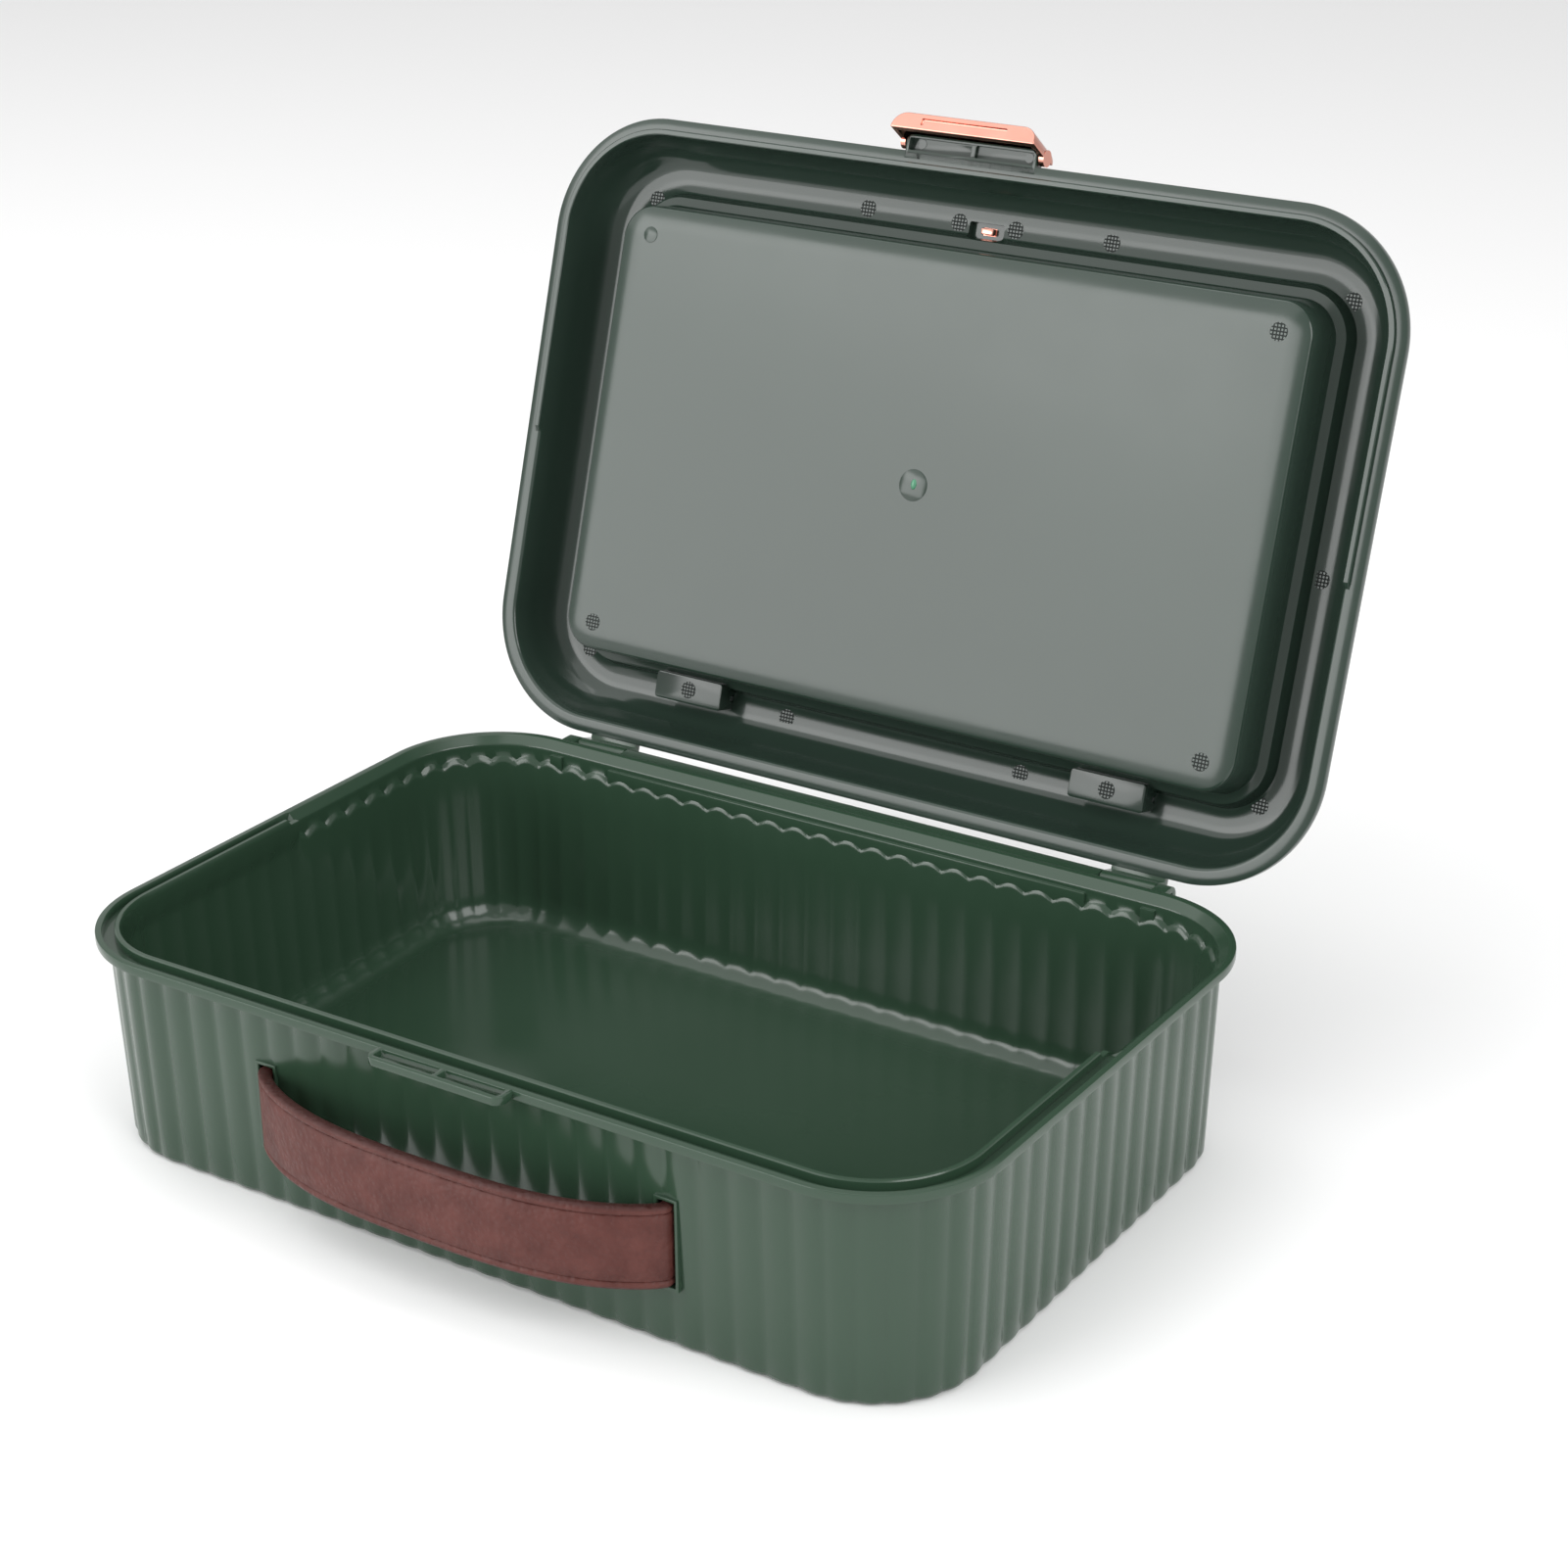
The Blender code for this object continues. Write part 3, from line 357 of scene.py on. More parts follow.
def rim_seal():
    """Groove and tongue on the front half; behind them the rim slopes down inward."""
    top = RIM_TOP
    low = RIM_TOP - 0.0022
    high = RIM_TOP + 0.0006
    slope = 0.0025 / 0.0054

    def rear(inset):
        return 0.0020 + (inset - 0.0020) * 0.5, top - 0.0002 - max(inset - 0.0022, 0.0) * slope

    groove = [((0.0019, top), rear(0.0020)), ((0.0022, top - EDGE), rear(0.0023)),
              ((0.0024, low), rear(0.0027)), ((0.0055, low), rear(0.0052))]
    tongue = [((0.0057, high - EDGE), rear(0.0057)), ((0.0060, high), rear(0.0062)),
              ((0.0071, high), rear(0.0070)), ((0.0074, high - EDGE), rear(0.0074)),
              ((0.0076, top - 0.0016), (0.0048, top - 0.0030))]
    stations = [split_level(front, behind, GROOVE_END) for front, behind in groove]
    for front, behind in tongue:
        stations.append(tongue_station(front, behind))
    return stations


def tongue_station(front, behind):
    """The tongue stops short of the groove's end, leaving a low shelf between them."""
    shelf = (front[0], min(front[1], RIM_TOP - 0.0012))

    def station(share, spot):
        if spot.y < TONGUE_END:
            return front
        if spot.y < GROOVE_END:
            return shelf
        return behind
    return station


HANDLE_SPAN = 0.1374
SLOT_LOW = 0.0200
SLOT_HIGH = 0.0460
SLOT_HALF = 0.0027
SLOT_FRAME = 0.0010
SLOT_PROUD = 0.0011             # how far a slot's frame stands out from the flutes' crests


def make_tub():
    """The fluted shell with a slot at each end of the strap."""
    shell = skin(FLUTES * STEPS_PER_FLUTE, tub_stations())
    slots = []
    for side in (-1, 1):
        centre = side * HANDLE_SPAN / 2
        slots.append(box((centre - SLOT_HALF, FRONT - WALL, SLOT_LOW),
                         (centre + SLOT_HALF, FRONT + 0.016, SLOT_HIGH)))
    shell = carved(shell, merged(*slots))
    finished("tub_shell", shell, "tub_body", GREEN, ("tub",))


def make_slot_frames():
    """A thin raised frame round each slot, outside the wall."""
    face = FRONT + wall_inset((SLOT_LOW + SLOT_HIGH) / 2) - SLOT_PROUD
    frames = []
    for side in (-1, 1):
        centre = side * HANDLE_SPAN / 2
        block = box((centre - SLOT_HALF - SLOT_FRAME, face, SLOT_LOW - SLOT_FRAME),
                    (centre + SLOT_HALF + SLOT_FRAME, face + 0.0032, SLOT_HIGH + SLOT_FRAME))
        hole = box((centre - SLOT_HALF, face - 0.002, SLOT_LOW),
                   (centre + SLOT_HALF, face + 0.006, SLOT_HIGH))
        frames.append(soften(carved(block, hole), 0.00025))
    finished("slot_frames", merged(*frames), "tub_body", GREEN)


CATCH_WIDTH = 0.0460
CATCH_FRONT = FRONT - 0.0060
CATCH_BAR = 0.0018
CATCH_RIB = 0.0016


def at_front(edge):
    """Upright corners on the side away from the case."""
    return upright(edge) and edge.verts[0].co.y < FRONT - 0.003


def make_catch_loop():
    """The loop in front of the rim, with two pockets right through it."""
    loop = box((-CATCH_WIDTH / 2, CATCH_FRONT, RIM_TOP - 0.0026),
               (CATCH_WIDTH / 2, FRONT + 0.0011, RIM_TOP - 0.00003))
    soften(loop, 0.0030, 8, at_front)
    pockets = []
    for side in (1, -1):
        low, high = mirrored(side, CATCH_RIB / 2, CATCH_WIDTH / 2 - CATCH_BAR)
        pocket = box((low, CATCH_FRONT + CATCH_BAR, RIM_TOP - 0.010),
                     (high, FRONT - 0.0003, RIM_TOP + 0.010))
        pockets.append(soften(pocket, 0.0008, 4, upright))
    loop = soften(carved(loop, merged(*pockets)), EDGE)
    finished("catch_loop", loop, "tub_body", GREEN)


# ---- Lid hinges -------------------------------------------------------------------------
RAIL_HALF = 0.0884
LEAF_LENGTH = 0.0182
KNUCKLE_LENGTH = 0.0046
PIN_GRIP = 0.0050
KNUCKLE_RADIUS = 0.0033
PIN_RADIUS = 0.0011
GAP = 0.0003
LEAF = 0.0026


def round_nose(centre, radius, first, last, steps=12):
    """(y, z) points on an arc about an axis between two angles in degrees."""
    points = []
    for step in range(steps + 1):
        angle = math.radians(first + (last - first) * step / steps)
        points.append((centre.y + radius * math.cos(angle), centre.z + radius * math.sin(angle)))
    return points


def make_knuckles():
    """The rail along the back and a knuckle outside each leaf, on webs down the wall."""
    blocks = []
    root = REAR - 0.0010
    outer = RAIL_HALF + 2 * GAP + LEAF_LENGTH
    spans = [(-RAIL_HALF, RAIL_HALF)]
    spans += [mirrored(side, outer, outer + KNUCKLE_LENGTH) for side in (-1, 1)]
    for low, high in spans:
        nose = round_nose(LID_AXIS, KNUCKLE_RADIUS, 90, -90)
        profile = [(root, LID_AXIS.z + KNUCKLE_RADIUS)] + nose
        profile.append((REAR - WALL_INSET - WALL, LID_AXIS.z - KNUCKLE_RADIUS - WALL_INSET))
        profile.append((REAR - WALL_INSET - WALL, WALL_TOP - 0.0012))
        profile.append((root, WALL_TOP - 0.0012))
        block = prism(low, high, profile)
        for side in (-1, 1):
            start, end = mirrored(side, RAIL_HALF - PIN_GRIP - GAP, outer + KNUCKLE_LENGTH + GAP)
            block = carved(block, rod(start, end, LID_AXIS, PIN_RADIUS + GAP))
        blocks.append(soften(block, EDGE))
    finished("tub_knuckles", merged(*blocks), "tub_body", GREEN)


def make_leaves():
    """A leaf a hinge: a barrel on the axis, an upright and a foot on the lid's rim."""
    blocks = []
    back = LID_AXIS.y + KNUCKLE_RADIUS
    top = RIM_PLANE + LEAF
    for side in (-1, 1):
        low, high = mirrored(side, RAIL_HALF + GAP, RAIL_HALF + GAP + LEAF_LENGTH)
        profile = round_nose(LID_AXIS, KNUCKLE_RADIUS, 180, 360)
        profile += [(back, top - EDGE), (back - EDGE, top), (LID_REAR - 0.0023, top)]
        profile += [(LID_REAR - 0.0023, RIM_PLANE + GAP)]
        profile += [(LID_AXIS.y - KNUCKLE_RADIUS, RIM_PLANE + GAP)]
        bore = rod(low - GAP, high + GAP, LID_AXIS, PIN_RADIUS + GAP)
        blocks.append(soften(carved(prism(low, high, profile), bore), EDGE))
    finished("lid_leaves", merged(*blocks), "lid_body", GREEN, place=LID_OPEN)


def make_pin(name, low, high, centre, radius, body, place=None):
    """A steel pin with rounded ends and a slightly thicker band near one end for grip."""
    pin = rod(low, high, centre, radius, 24)
    soften(pin, radius * 0.3, 3)
    band = rod(low + 0.0008, low + 0.0034, centre, radius + 0.00012, 24)
    finished(name, merged(pin, band), body, STEEL, (name,), place)


# ---- Lid shell --------------------------------------------------------------------------
def quarter_round(edge, crown, steps):
    """(inset, height) points on a quarter ellipse from the edge up to the crown."""
    points = []
    for step in range(steps + 1):
        angle = math.pi / 2 * step / steps
        points.append((crown[0] - (crown[0] - edge[0]) * math.cos(angle),
                       edge[1] + (crown[1] - edge[1]) * math.sin(angle)))
    return points


def lid_stations():
    """From the middle of the inner panel out, round the rim and back over the crown."""
    inside = [(0.0360, PANEL_FACE), (0.0292, PANEL_FACE), (0.0286, PANEL_FACE + 0.0002),
              (0.0283, PANEL_FACE + 0.0006), (0.0281, PANEL_FACE + 0.0014),
              (0.0276, 0.0060), (0.0270, 0.0122), (0.0267, 0.0130), (0.0262, 0.0133),
              (0.0243, 0.0133), (0.0238, 0.0135), (0.0236, 0.0140), (0.0226, 0.0172),
              (0.0222, 0.0180), (0.0214, TROUGH_FLOOR), (0.0166, TROUGH_FLOOR)]
    inside += reversed(quarter_round((0.0055, 0.0022), (0.0160, TROUGH_FLOOR - 0.0001), 14))
    inside = [(inset, RIM_PLANE + height) for inset, height in inside]
    rim = [((0.0054, 0.0), (0.0053, 0.0008)), ((0.0053, -0.0011), (0.0050, 0.0003)),
           ((0.0050, -0.0014), (0.0046, 0.0001)), ((0.0038, -0.0014), (0.0040, 0.0)),
           ((0.0035, -0.0011), (0.0036, 0.0)), ((0.0034, 0.0), (0.0034, 0.0))]
    outside = [(0.0004, 0.0), (0.0001, 0.0001), (0.0, EDGE), (0.0, 0.0027), (0.0001, 0.0030),
               (0.0004, 0.0031), (0.0032, 0.0032), (0.0036, 0.0035)]
    outside += quarter_round((0.0037, 0.0039), (0.0170, LID_HEIGHT), 16)
    outside += [(0.0230, LID_HEIGHT), (0.0238, LID_HEIGHT - 0.0001), (0.0242, LID_HEIGHT - 0.0005),
                (0.0254, 0.0160), (0.0256, 0.0156), (0.0260, 0.0155), (0.0284, 0.0155),
                (0.0289, 0.0153), (0.0291, 0.0148), (0.0302, 0.0015), (0.0305, 0.0009),
                (0.0311, 0.0007), (0.0360, 0.0007)]
    stations = [level(inset - OVERHANG, z) for inset, z in inside]
    for front, rear in rim:
        stations.append(split_level((front[0] - OVERHANG, RIM_PLANE + front[1]),
                                    (rear[0] - OVERHANG, RIM_PLANE + rear[1]), RIB_END))
    stations += [level(inset - OVERHANG, RIM_PLANE + z) for inset, z in outside]
    return stations


SOCKET_CENTRE = 0.0780
SOCKET_HALF = 0.0115
SOCKET_REAR = LID_REAR - 0.0174
SOCKET_FRONT = LID_REAR - 0.0237
SOCKET_MOUTH = LID_REAR - 0.0276
SOCKET_FLOOR = 0.0115
ARM_FLOOR = 0.0171
PAD_FRONT = LID_REAR - 0.0249
PAD_WALL = 0.0015
FLAP_PIN_RADIUS = 0.0010
FLAP_BORE = FLAP_PIN_RADIUS + GAP
ABOVE_LID = RIM_PLANE + 0.0250  # clear of the crown
SNAP_HALF = 0.0063
SNAP_FRONT = LID_FRONT + 0.0180
SNAP_REAR = LID_FRONT + 0.0230


def socket_tool(side):
    """The room for one flap hinge: a deep socket behind, and a shallow passage for the arm."""
    low = side * SOCKET_CENTRE - SOCKET_HALF
    high = side * SOCKET_CENTRE + SOCKET_HALF
    profile = [(SOCKET_REAR, RIM_PLANE + SOCKET_FLOOR), (SOCKET_REAR, ABOVE_LID),
               (SOCKET_MOUTH, ABOVE_LID), (SOCKET_MOUTH, RIM_PLANE + ARM_FLOOR),
               (SOCKET_FRONT, RIM_PLANE + ARM_FLOOR), (SOCKET_FRONT, RIM_PLANE + SOCKET_FLOOR)]
    return prism(low, high, profile)


def make_lid():
    """The domed shell, with the snap slot and the flap's sockets cut through it."""
    shell = skin(LID_STEPS, lid_stations())
    slot = box((-SNAP_HALF, SNAP_FRONT, RIM_PLANE + 0.0150),
               (SNAP_HALF, SNAP_REAR, ABOVE_LID))
    tools = [socket_tool(-1), socket_tool(1), soften(slot, 0.0006, 3, upright)]
    finished("lid_shell", carved(shell, merged(*tools)), "lid_body",
             GREEN_LID, ("lid",), LID_OPEN)


def make_pads():
    """The raised pads inside the trough that carry the flap's hinge sockets."""
    pads = []
    for side in (-1, 1):
        centre = side * SOCKET_CENTRE
        pad = box((centre - SOCKET_HALF - PAD_WALL, PAD_FRONT, RIM_PLANE + PAD_FACE),
                  (centre + SOCKET_HALF + PAD_WALL, SOCKET_REAR + PAD_WALL,
                   RIM_PLANE + TROUGH_FLOOR + 0.0003))
        soften(pad, 0.0012, 5, upright)
        pad = soften(carved(pad, socket_tool(side)), EDGE)
        bore = rod(centre - SOCKET_HALF - 0.004, centre + SOCKET_HALF + 0.004, FLAP_AXIS, FLAP_BORE)
        pads.append(carved(pad, bore))
    finished("socket_pads", merged(*pads), "lid_body", GREEN_LID,
             place=LID_OPEN)


def disc(place, radius, thickness):
    """A thin round mark lying level, its face down towards the tub."""
    bm = bmesh.new()
    bmesh.ops.create_cone(bm, cap_ends=True, segments=40, radius1=radius,
                          radius2=radius, depth=thickness)
    bmesh.ops.translate(bm, verts=bm.verts, vec=place)
    return bm


def lid_place(x, along, height):
    """A place on the lid: across, from the rear edge towards the front, above the rim plane."""
    return Vector((x, LID_REAR - along, RIM_PLANE + height))


TROUGH_MARKS = ((0.0438, 0.1842), (0.0101, 0.1838), (0.0438, 0.0179),
                (0.1250, 0.1773), (0.1310, 0.0956), (0.1250, 0.0255))
PANEL_MARK_X = 0.1120
MARK_RADIUS = 0.0028
MARK_DEPTH = 0.00016


def make_marks():
    """Round marks from the mould: hatched ones in the trough, on the pads and on the panel,
    a plain one, and the gate's mark with its nub."""
    places = []
    for side in (-1, 1):
        places += [lid_place(side * x, along, TROUGH_FLOOR) for x, along in TROUGH_MARKS]
        places.append(lid_place(side * SOCKET_CENTRE, 0.0205, PAD_FACE))
        places.append(lid_place(side * PANEL_MARK_X, 0.0370, PANEL_FACE))
    places.append(lid_place(PANEL_MARK_X, 0.1652, PANEL_FACE))
    hatched = [disc(place, MARK_RADIUS, MARK_DEPTH) for place in places]
    finished("hatched_marks", merged(*hatched), "lid_body", HATCHED,
             place=LID_OPEN)
    plain = disc(lid_place(-PANEL_MARK_X, 0.1653, PANEL_FACE), 0.0026, 0.00030)
    gate = disc(lid_place(0.0, 0.1015, PANEL_FACE), 0.0050, 0.00024)
    soften(plain, 0.0001)
    soften(gate, 0.0001)
    finished("gate_marks", merged(plain, gate), "lid_body", GREEN_LID,
             place=LID_OPEN)
    nub = bmesh.new()
    bmesh.ops.create_uvsphere(nub, u_segments=20, v_segments=10, radius=0.0011)
    bmesh.ops.scale(nub, verts=nub.verts, vec=(0.9, 1.5, 0.5))
    bmesh.ops.translate(nub, verts=nub.verts, vec=lid_place(0.0002, 0.1018, PANEL_FACE - 0.0001))
    finished("gate_nub", nub, "lid_body", NUB, place=LID_OPEN)


LUG_HEIGHT = 0.0040
LUG_WALL = 0.0010


def make_lug():
    """The lid's half of the catch: two blind pockets with a low rib between them, a round
    mark in each, and a stud each side."""
    lug = box((-CATCH_WIDTH / 2, CATCH_FRONT, RIM_PLANE),
              (CATCH_WIDTH / 2, LID_FRONT + 0.0023, RIM_PLANE + LUG_HEIGHT))
    pocket_end = RIM_PLANE + LUG_HEIGHT - LUG_WALL
    soften(lug, 0.0022, 6, at_front)
    pockets = []
    for side in (1, -1):
        low, high = mirrored(side, CATCH_RIB / 2, CATCH_WIDTH / 2 - LUG_WALL)
        pocket = box((low, CATCH_FRONT + LUG_WALL, RIM_PLANE - 0.004),
                     (high, LID_FRONT - 0.0003, pocket_end))
        pockets.append(soften(pocket, 0.0005, 3, upright))
    pockets.append(box((-0.0012, CATCH_FRONT + LUG_WALL, RIM_PLANE - 0.004),
                       (0.0012, LID_FRONT - 0.0003, RIM_PLANE + 0.0016)))
    for pocket in pockets:
        lug = carved(lug, pocket)
    blocks = [soften(lug, 0.00025)]
    for side in (-1, 1):
        start, end = mirrored(side, CATCH_WIDTH / 2 - 0.0006, CLASP_OUTER - GAP)
        blocks.append(soften(rod(start, end, CLASP_AXIS, STUD_RADIUS), 0.0002))
        mark = Vector((side * 0.0190, (CATCH_FRONT + LID_FRONT) / 2, pocket_end))
        blocks.append(disc(mark, 0.0015, 0.0003))
    finished("clasp_lug", merged(*blocks), "lid_body", GREEN_LID,
             place=LID_OPEN)


# ---- Clasp ------------------------------------------------------------------------------
CLASP_INNER = CATCH_WIDTH / 2 + 0.0006
CLASP_OUTER = CLASP_INNER + 0.0017
CLASP_FACE = CATCH_FRONT - 0.0025
CLASP_LIP = 0.0054
CLASP_LOW = RIM_PLANE - 0.0083
CLASP_HIGH = RIM_PLANE + 0.0070
CLASP_WALL = 0.0018
CLASP_CORNER = 0.0050
EAR_RADIUS = 0.0026
STUD_RADIUS = 0.0012


def make_clasp():
    """A rounded cover open at the back, with a finger lip below and an ear each side."""
    back = CLASP_FACE + CLASP_LIP
    shell = box((-CLASP_OUTER, CLASP_FACE, CLASP_LOW), (CLASP_OUTER, back, CLASP_HIGH))
    soften(shell, CLASP_CORNER, 12, lambda edge: upright(edge) and edge.verts[0].co.y < back - GAP)
    soften(shell, 0.0006, 4)
    hollow = box((-CLASP_INNER, CLASP_FACE + CLASP_WALL, CLASP_LOW + 0.0020),
                 (CLASP_INNER, back + 0.006, CLASP_HIGH - 0.0017))
    soften(hollow, 0.0033, 10,
           lambda edge: upright(edge) and edge.verts[0].co.y < back)
    trim = prism(-0.04, 0.04, [(CLASP_AXIS.y, CLASP_AXIS.z), (CLASP_AXIS.y, CLASP_HIGH + 0.002),
                               (back + 0.004, CLASP_HIGH + 0.002), (back + 0.004, CLASP_AXIS.z)])
    shell = carved(carved(shell, hollow), trim)
    for side in (-1, 1):
        low, high = mirrored(side, CLASP_INNER, CLASP_OUTER)
        shell = carved(shell, rod(low, high, CLASP_AXIS, EAR_RADIUS), "UNION")
        low, high = mirrored(side, CLASP_INNER - 0.001, CLASP_OUTER - 0.0002)
        shell = carved(shell, rod(low, high, CLASP_AXIS, STUD_RADIUS + GAP))
    middle = (CLASP_FACE + back) / 2
    grip = box((-0.0150, middle - 0.0012, CLASP_LOW - 0.002),
               (0.0150, middle + 0.0012, CLASP_LOW + 0.0010))
    shell = carved(shell, soften(grip, 0.0004, 3))
    hook = box((-CLASP_INNER + 0.0050, CLASP_FACE + 0.0009, RIM_TOP - 0.0043),
               (CLASP_INNER - 0.0050, CATCH_FRONT + 0.0012, RIM_TOP - 0.0029))
    shell = merged(shell, soften(hook, 0.0003))
    finished("clasp_cover", shell, "clasp_body", ROSE_GOLD, ("front_clasp",),
             CLASP_TIPPED, crease=40)


# ---- Flap over the lid's compartment ----------------------------------------------------
FLAP_TOP = LID_HEIGHT - 0.0003
FLAP_UNDER = FLAP_TOP - 0.0027
FLAP_TIP = 0.0158
FLAP_STEPS = 240
BARREL_RADIUS = 0.0022


def flap_station(height, inward=0.0):
    """The flap's edge follows the recess it lies in."""
    run = 0.0014 * (LID_HEIGHT - height) / 0.0052
    return level(0.0242 + 0.0007 + run + inward - OVERHANG, RIM_PLANE + height)


def make_flap():
    """The plate with its skirt, and an arm and barrel in each socket."""
    plate = skin(FLAP_STEPS, [flap_station(FLAP_UNDER, 0.0060), flap_station(FLAP_UNDER, 0.0024),
                       flap_station(FLAP_UNDER - 0.0004, 0.0020), flap_station(FLAP_TIP, 0.0018),
                       flap_station(FLAP_TIP, 0.0002), flap_station(FLAP_TIP + 0.0003),
                       flap_station(FLAP_TOP - 0.0008), flap_station(FLAP_TOP - 0.0003, 0.0001),
                       flap_station(FLAP_TOP, 0.0006), flap_station(FLAP_TOP, 0.0080)])
    start = LID_REAR - 0.0289
    parts = [plate]
    for side in (-1, 1):
        low = side * SOCKET_CENTRE - SOCKET_HALF + 0.0006
        high = side * SOCKET_CENTRE + SOCKET_HALF - 0.0006
        profile = [(start, RIM_PLANE + FLAP_UNDER), (start, FLAP_AXIS.z + BARREL_RADIUS)]
        profile += round_nose(FLAP_AXIS, BARREL_RADIUS, 90, -180, 20)
        profile += [(FLAP_AXIS.y - BARREL_RADIUS, RIM_PLANE + FLAP_UNDER)]
        arm = soften(prism(low, high, profile), 0.0002)
        parts.append(carved(arm, rod(low - GAP, high + GAP, FLAP_AXIS, FLAP_BORE)))
    finished("flap_plate", merged(*parts), "flap_body", GREEN, ("top_flap",),
             LID_OPEN)


TAB_HALF = 0.0110
TAB_THICKNESS = 0.0016
LEG_HALF = 0.0022


def make_snap_tab():
    """The bright tab on the flap's front edge with its leg down into the slot, and a thin green sheet
    under the tab that paints shade into the slot, so the tab's plated underside does not show through
    it."""
    low = RIM_PLANE + LID_HEIGHT + GAP
    tab = box((-TAB_HALF, SNAP_FRONT - 0.0006, low),
              (TAB_HALF, SNAP_FRONT + 0.0170, low + TAB_THICKNESS))
    soften(tab, 0.0030, 8, upright)
    soften(tab, 0.0004, 3)
    grip = box((-0.0070, SNAP_FRONT + 0.0020, low + 0.0010), (0.0070, SNAP_FRONT + 0.0042, low + 0.005))
    tab = carved(tab, soften(grip, 0.0004, 3))
    leg_front = (SNAP_FRONT + SNAP_REAR) / 2 - 0.0010
    leg = box((-LEG_HALF, leg_front, RIM_PLANE + LID_HEIGHT - 0.0019),
              (LEG_HALF, leg_front + 0.0020, low + GAP))
    finished("snap_tab", merged(tab, soften(leg, 0.0003)), "flap_body", ROSE_GOLD,
             ("flap_snap_tab",), LID_OPEN)
    # Painted shade: a thin green sheet in the gap under the tab, darkening the slot where the tab's
    # bright underside would show.
    slot_shade_sheet = box((-0.0104, SNAP_FRONT - 0.0003, low - 0.00018),
                  (0.0104, SNAP_FRONT + 0.0160, low + 0.0001))
    notch = box((-0.0024, leg_front - 0.0002, low - 0.001), (0.0024, leg_front + 0.0022, low + 0.001))
    finished("snap_tab_painted_shade", carved(soften(slot_shade_sheet, 0.0030, 6, upright), notch),
             "flap_body", GREEN_LID, place=LID_OPEN)


# ---- Strap handle -----------------------------------------------------------------------
STRAP_LOW = 0.0205
STRAP_HEIGHT = 0.0250
STRAP_THICKNESS = 0.0036
STRAP_BOW = 0.0195
STRAP_TAIL = 0.0040             # how far each end runs on inside the wall
STRAP_ROUND = 0.0011
STITCH_LINE = 0.0024            # from the strap's edge
STOP_HALF = 0.0040
BOW_STEPS = 96


def strap_line():
    """Plan points of the strap's middle: in through one slot, out in a bow and back."""
    half = HANDLE_SPAN / 2
    wall_face = FRONT + wall_inset(STRAP_LOW + STRAP_HEIGHT / 2)
    start = wall_face - 0.0014
    inner = FRONT + wall_inset(STRAP_LOW) + WALL + FLUTE_DEPTH
    bow = STRAP_BOW - STRAP_THICKNESS / 2 - (wall_face - start)
    points = [Vector((-half, inner + STRAP_TAIL, 0)), Vector((-half, inner, 0))]
    for step in range(BOW_STEPS + 1):
        angle = math.pi * step / BOW_STEPS
        x = -half * math.copysign(abs(math.cos(angle)) ** 0.8, math.cos(angle))
        points.append(Vector((x, start - bow * (1 - min(abs(x / half), 1.0) ** 3) ** 0.83, 0)))
    return points + [Vector((half, inner, 0)), Vector((half, inner + STRAP_TAIL, 0))]


def strap_section():
    """(outward, up) places round the strap's rounded edge, with a stitched line each side."""
    half = STRAP_HEIGHT / 2
    thick = STRAP_THICKNESS / 2
    edge = STRAP_ROUND
    groove = STITCH_LINE
    face = [(thick - edge, half), (thick - edge * 0.3, half - edge * 0.3), (thick, half - edge),
            (thick, half - groove + 0.0005), (thick - 0.0006, half - groove),
            (thick, half - groove - 0.0005), (thick, half * 0.4),
            (thick, 0.0)]
    upper = face[:-1]
    lower = [(out, -up) for out, up in reversed(upper)]
    back = [(edge - thick, -half), (edge * 0.3 - thick, edge * 0.3 - half), (-thick, edge - half),
            (-thick, half - edge), (edge * 0.3 - thick, half - edge * 0.3), (edge - thick, half)]
    return upper + [face[-1]] + lower + back


def make_strap():
    """The strap, grown along its line, with a stop behind each slot."""
    line = strap_line()
    section = strap_section()
    bm, way = numbered_ring(len(section))
    sheet = bm.verts.layers.float_vector.new("strap_place")
    middle_height = STRAP_LOW + STRAP_HEIGHT / 2
    lengths = [0.0]
    for before, after in zip(line[:-1], line[1:]):
        lengths.append(lengths[-1] + (after - before).length)

    def settle(verts, place):
        run = (line[min(place + 1, len(line) - 1)] - line[max(place - 1, 0)]).normalized()
        outward = Vector((run.y, -run.x, 0))
        for vert in verts:
            out, up = section[round(vert[way])]
            vert.co = line[place] + outward * out + Vector((0, 0, middle_height + up))
            vert[sheet] = (lengths[place] - lengths[-1] / 2, up, out)

    grow_shell(bm, len(line), settle)
    stops = [bm]
    for side in (-1, 1):
        centre = side * HANDLE_SPAN / 2
        tail_end = line[0].y
        stop = box((centre - STOP_HALF, tail_end - 0.0015, STRAP_LOW),
                   (centre + STOP_HALF, tail_end + 0.0015, STRAP_LOW + STRAP_HEIGHT))
        stops.append(soften(stop, 0.0006, 3))
    finished("strap", merged(*stops), "handle_body", LEATHER, ("carry_handle",),
             crease=60)


# ---- Hinge pins -------------------------------------------------------------------------
def make_pins():
    """A pin through each of the lid's two hinges and each of the flap's two sockets."""
    for side, name in ((-1, "left"), (1, "right")):
        start, end = mirrored(side, RAIL_HALF - PIN_GRIP,
                              RAIL_HALF + GAP + LEAF_LENGTH + KNUCKLE_LENGTH)
        make_pin("lid_hinge_pin_" + name, start, end, LID_AXIS, PIN_RADIUS, "tub_body")
        start = side * SOCKET_CENTRE - SOCKET_HALF - PAD_WALL + GAP
        end = side * SOCKET_CENTRE + SOCKET_HALF + PAD_WALL - GAP
        make_pin("flap_hinge_pin_" + name, start, end, FLAP_AXIS, FLAP_PIN_RADIUS, "lid_body",
                 LID_OPEN)


# ---- Finishes ---------------------------------------------------------------------------
def blank_material(name):
    """A new material, with its nodes, its links and its main shader."""
    material = bpy.data.materials.new(name)
    material.use_nodes = True
    nodes = material.node_tree.nodes
    return material, nodes, material.node_tree.links, nodes["Principled BSDF"]


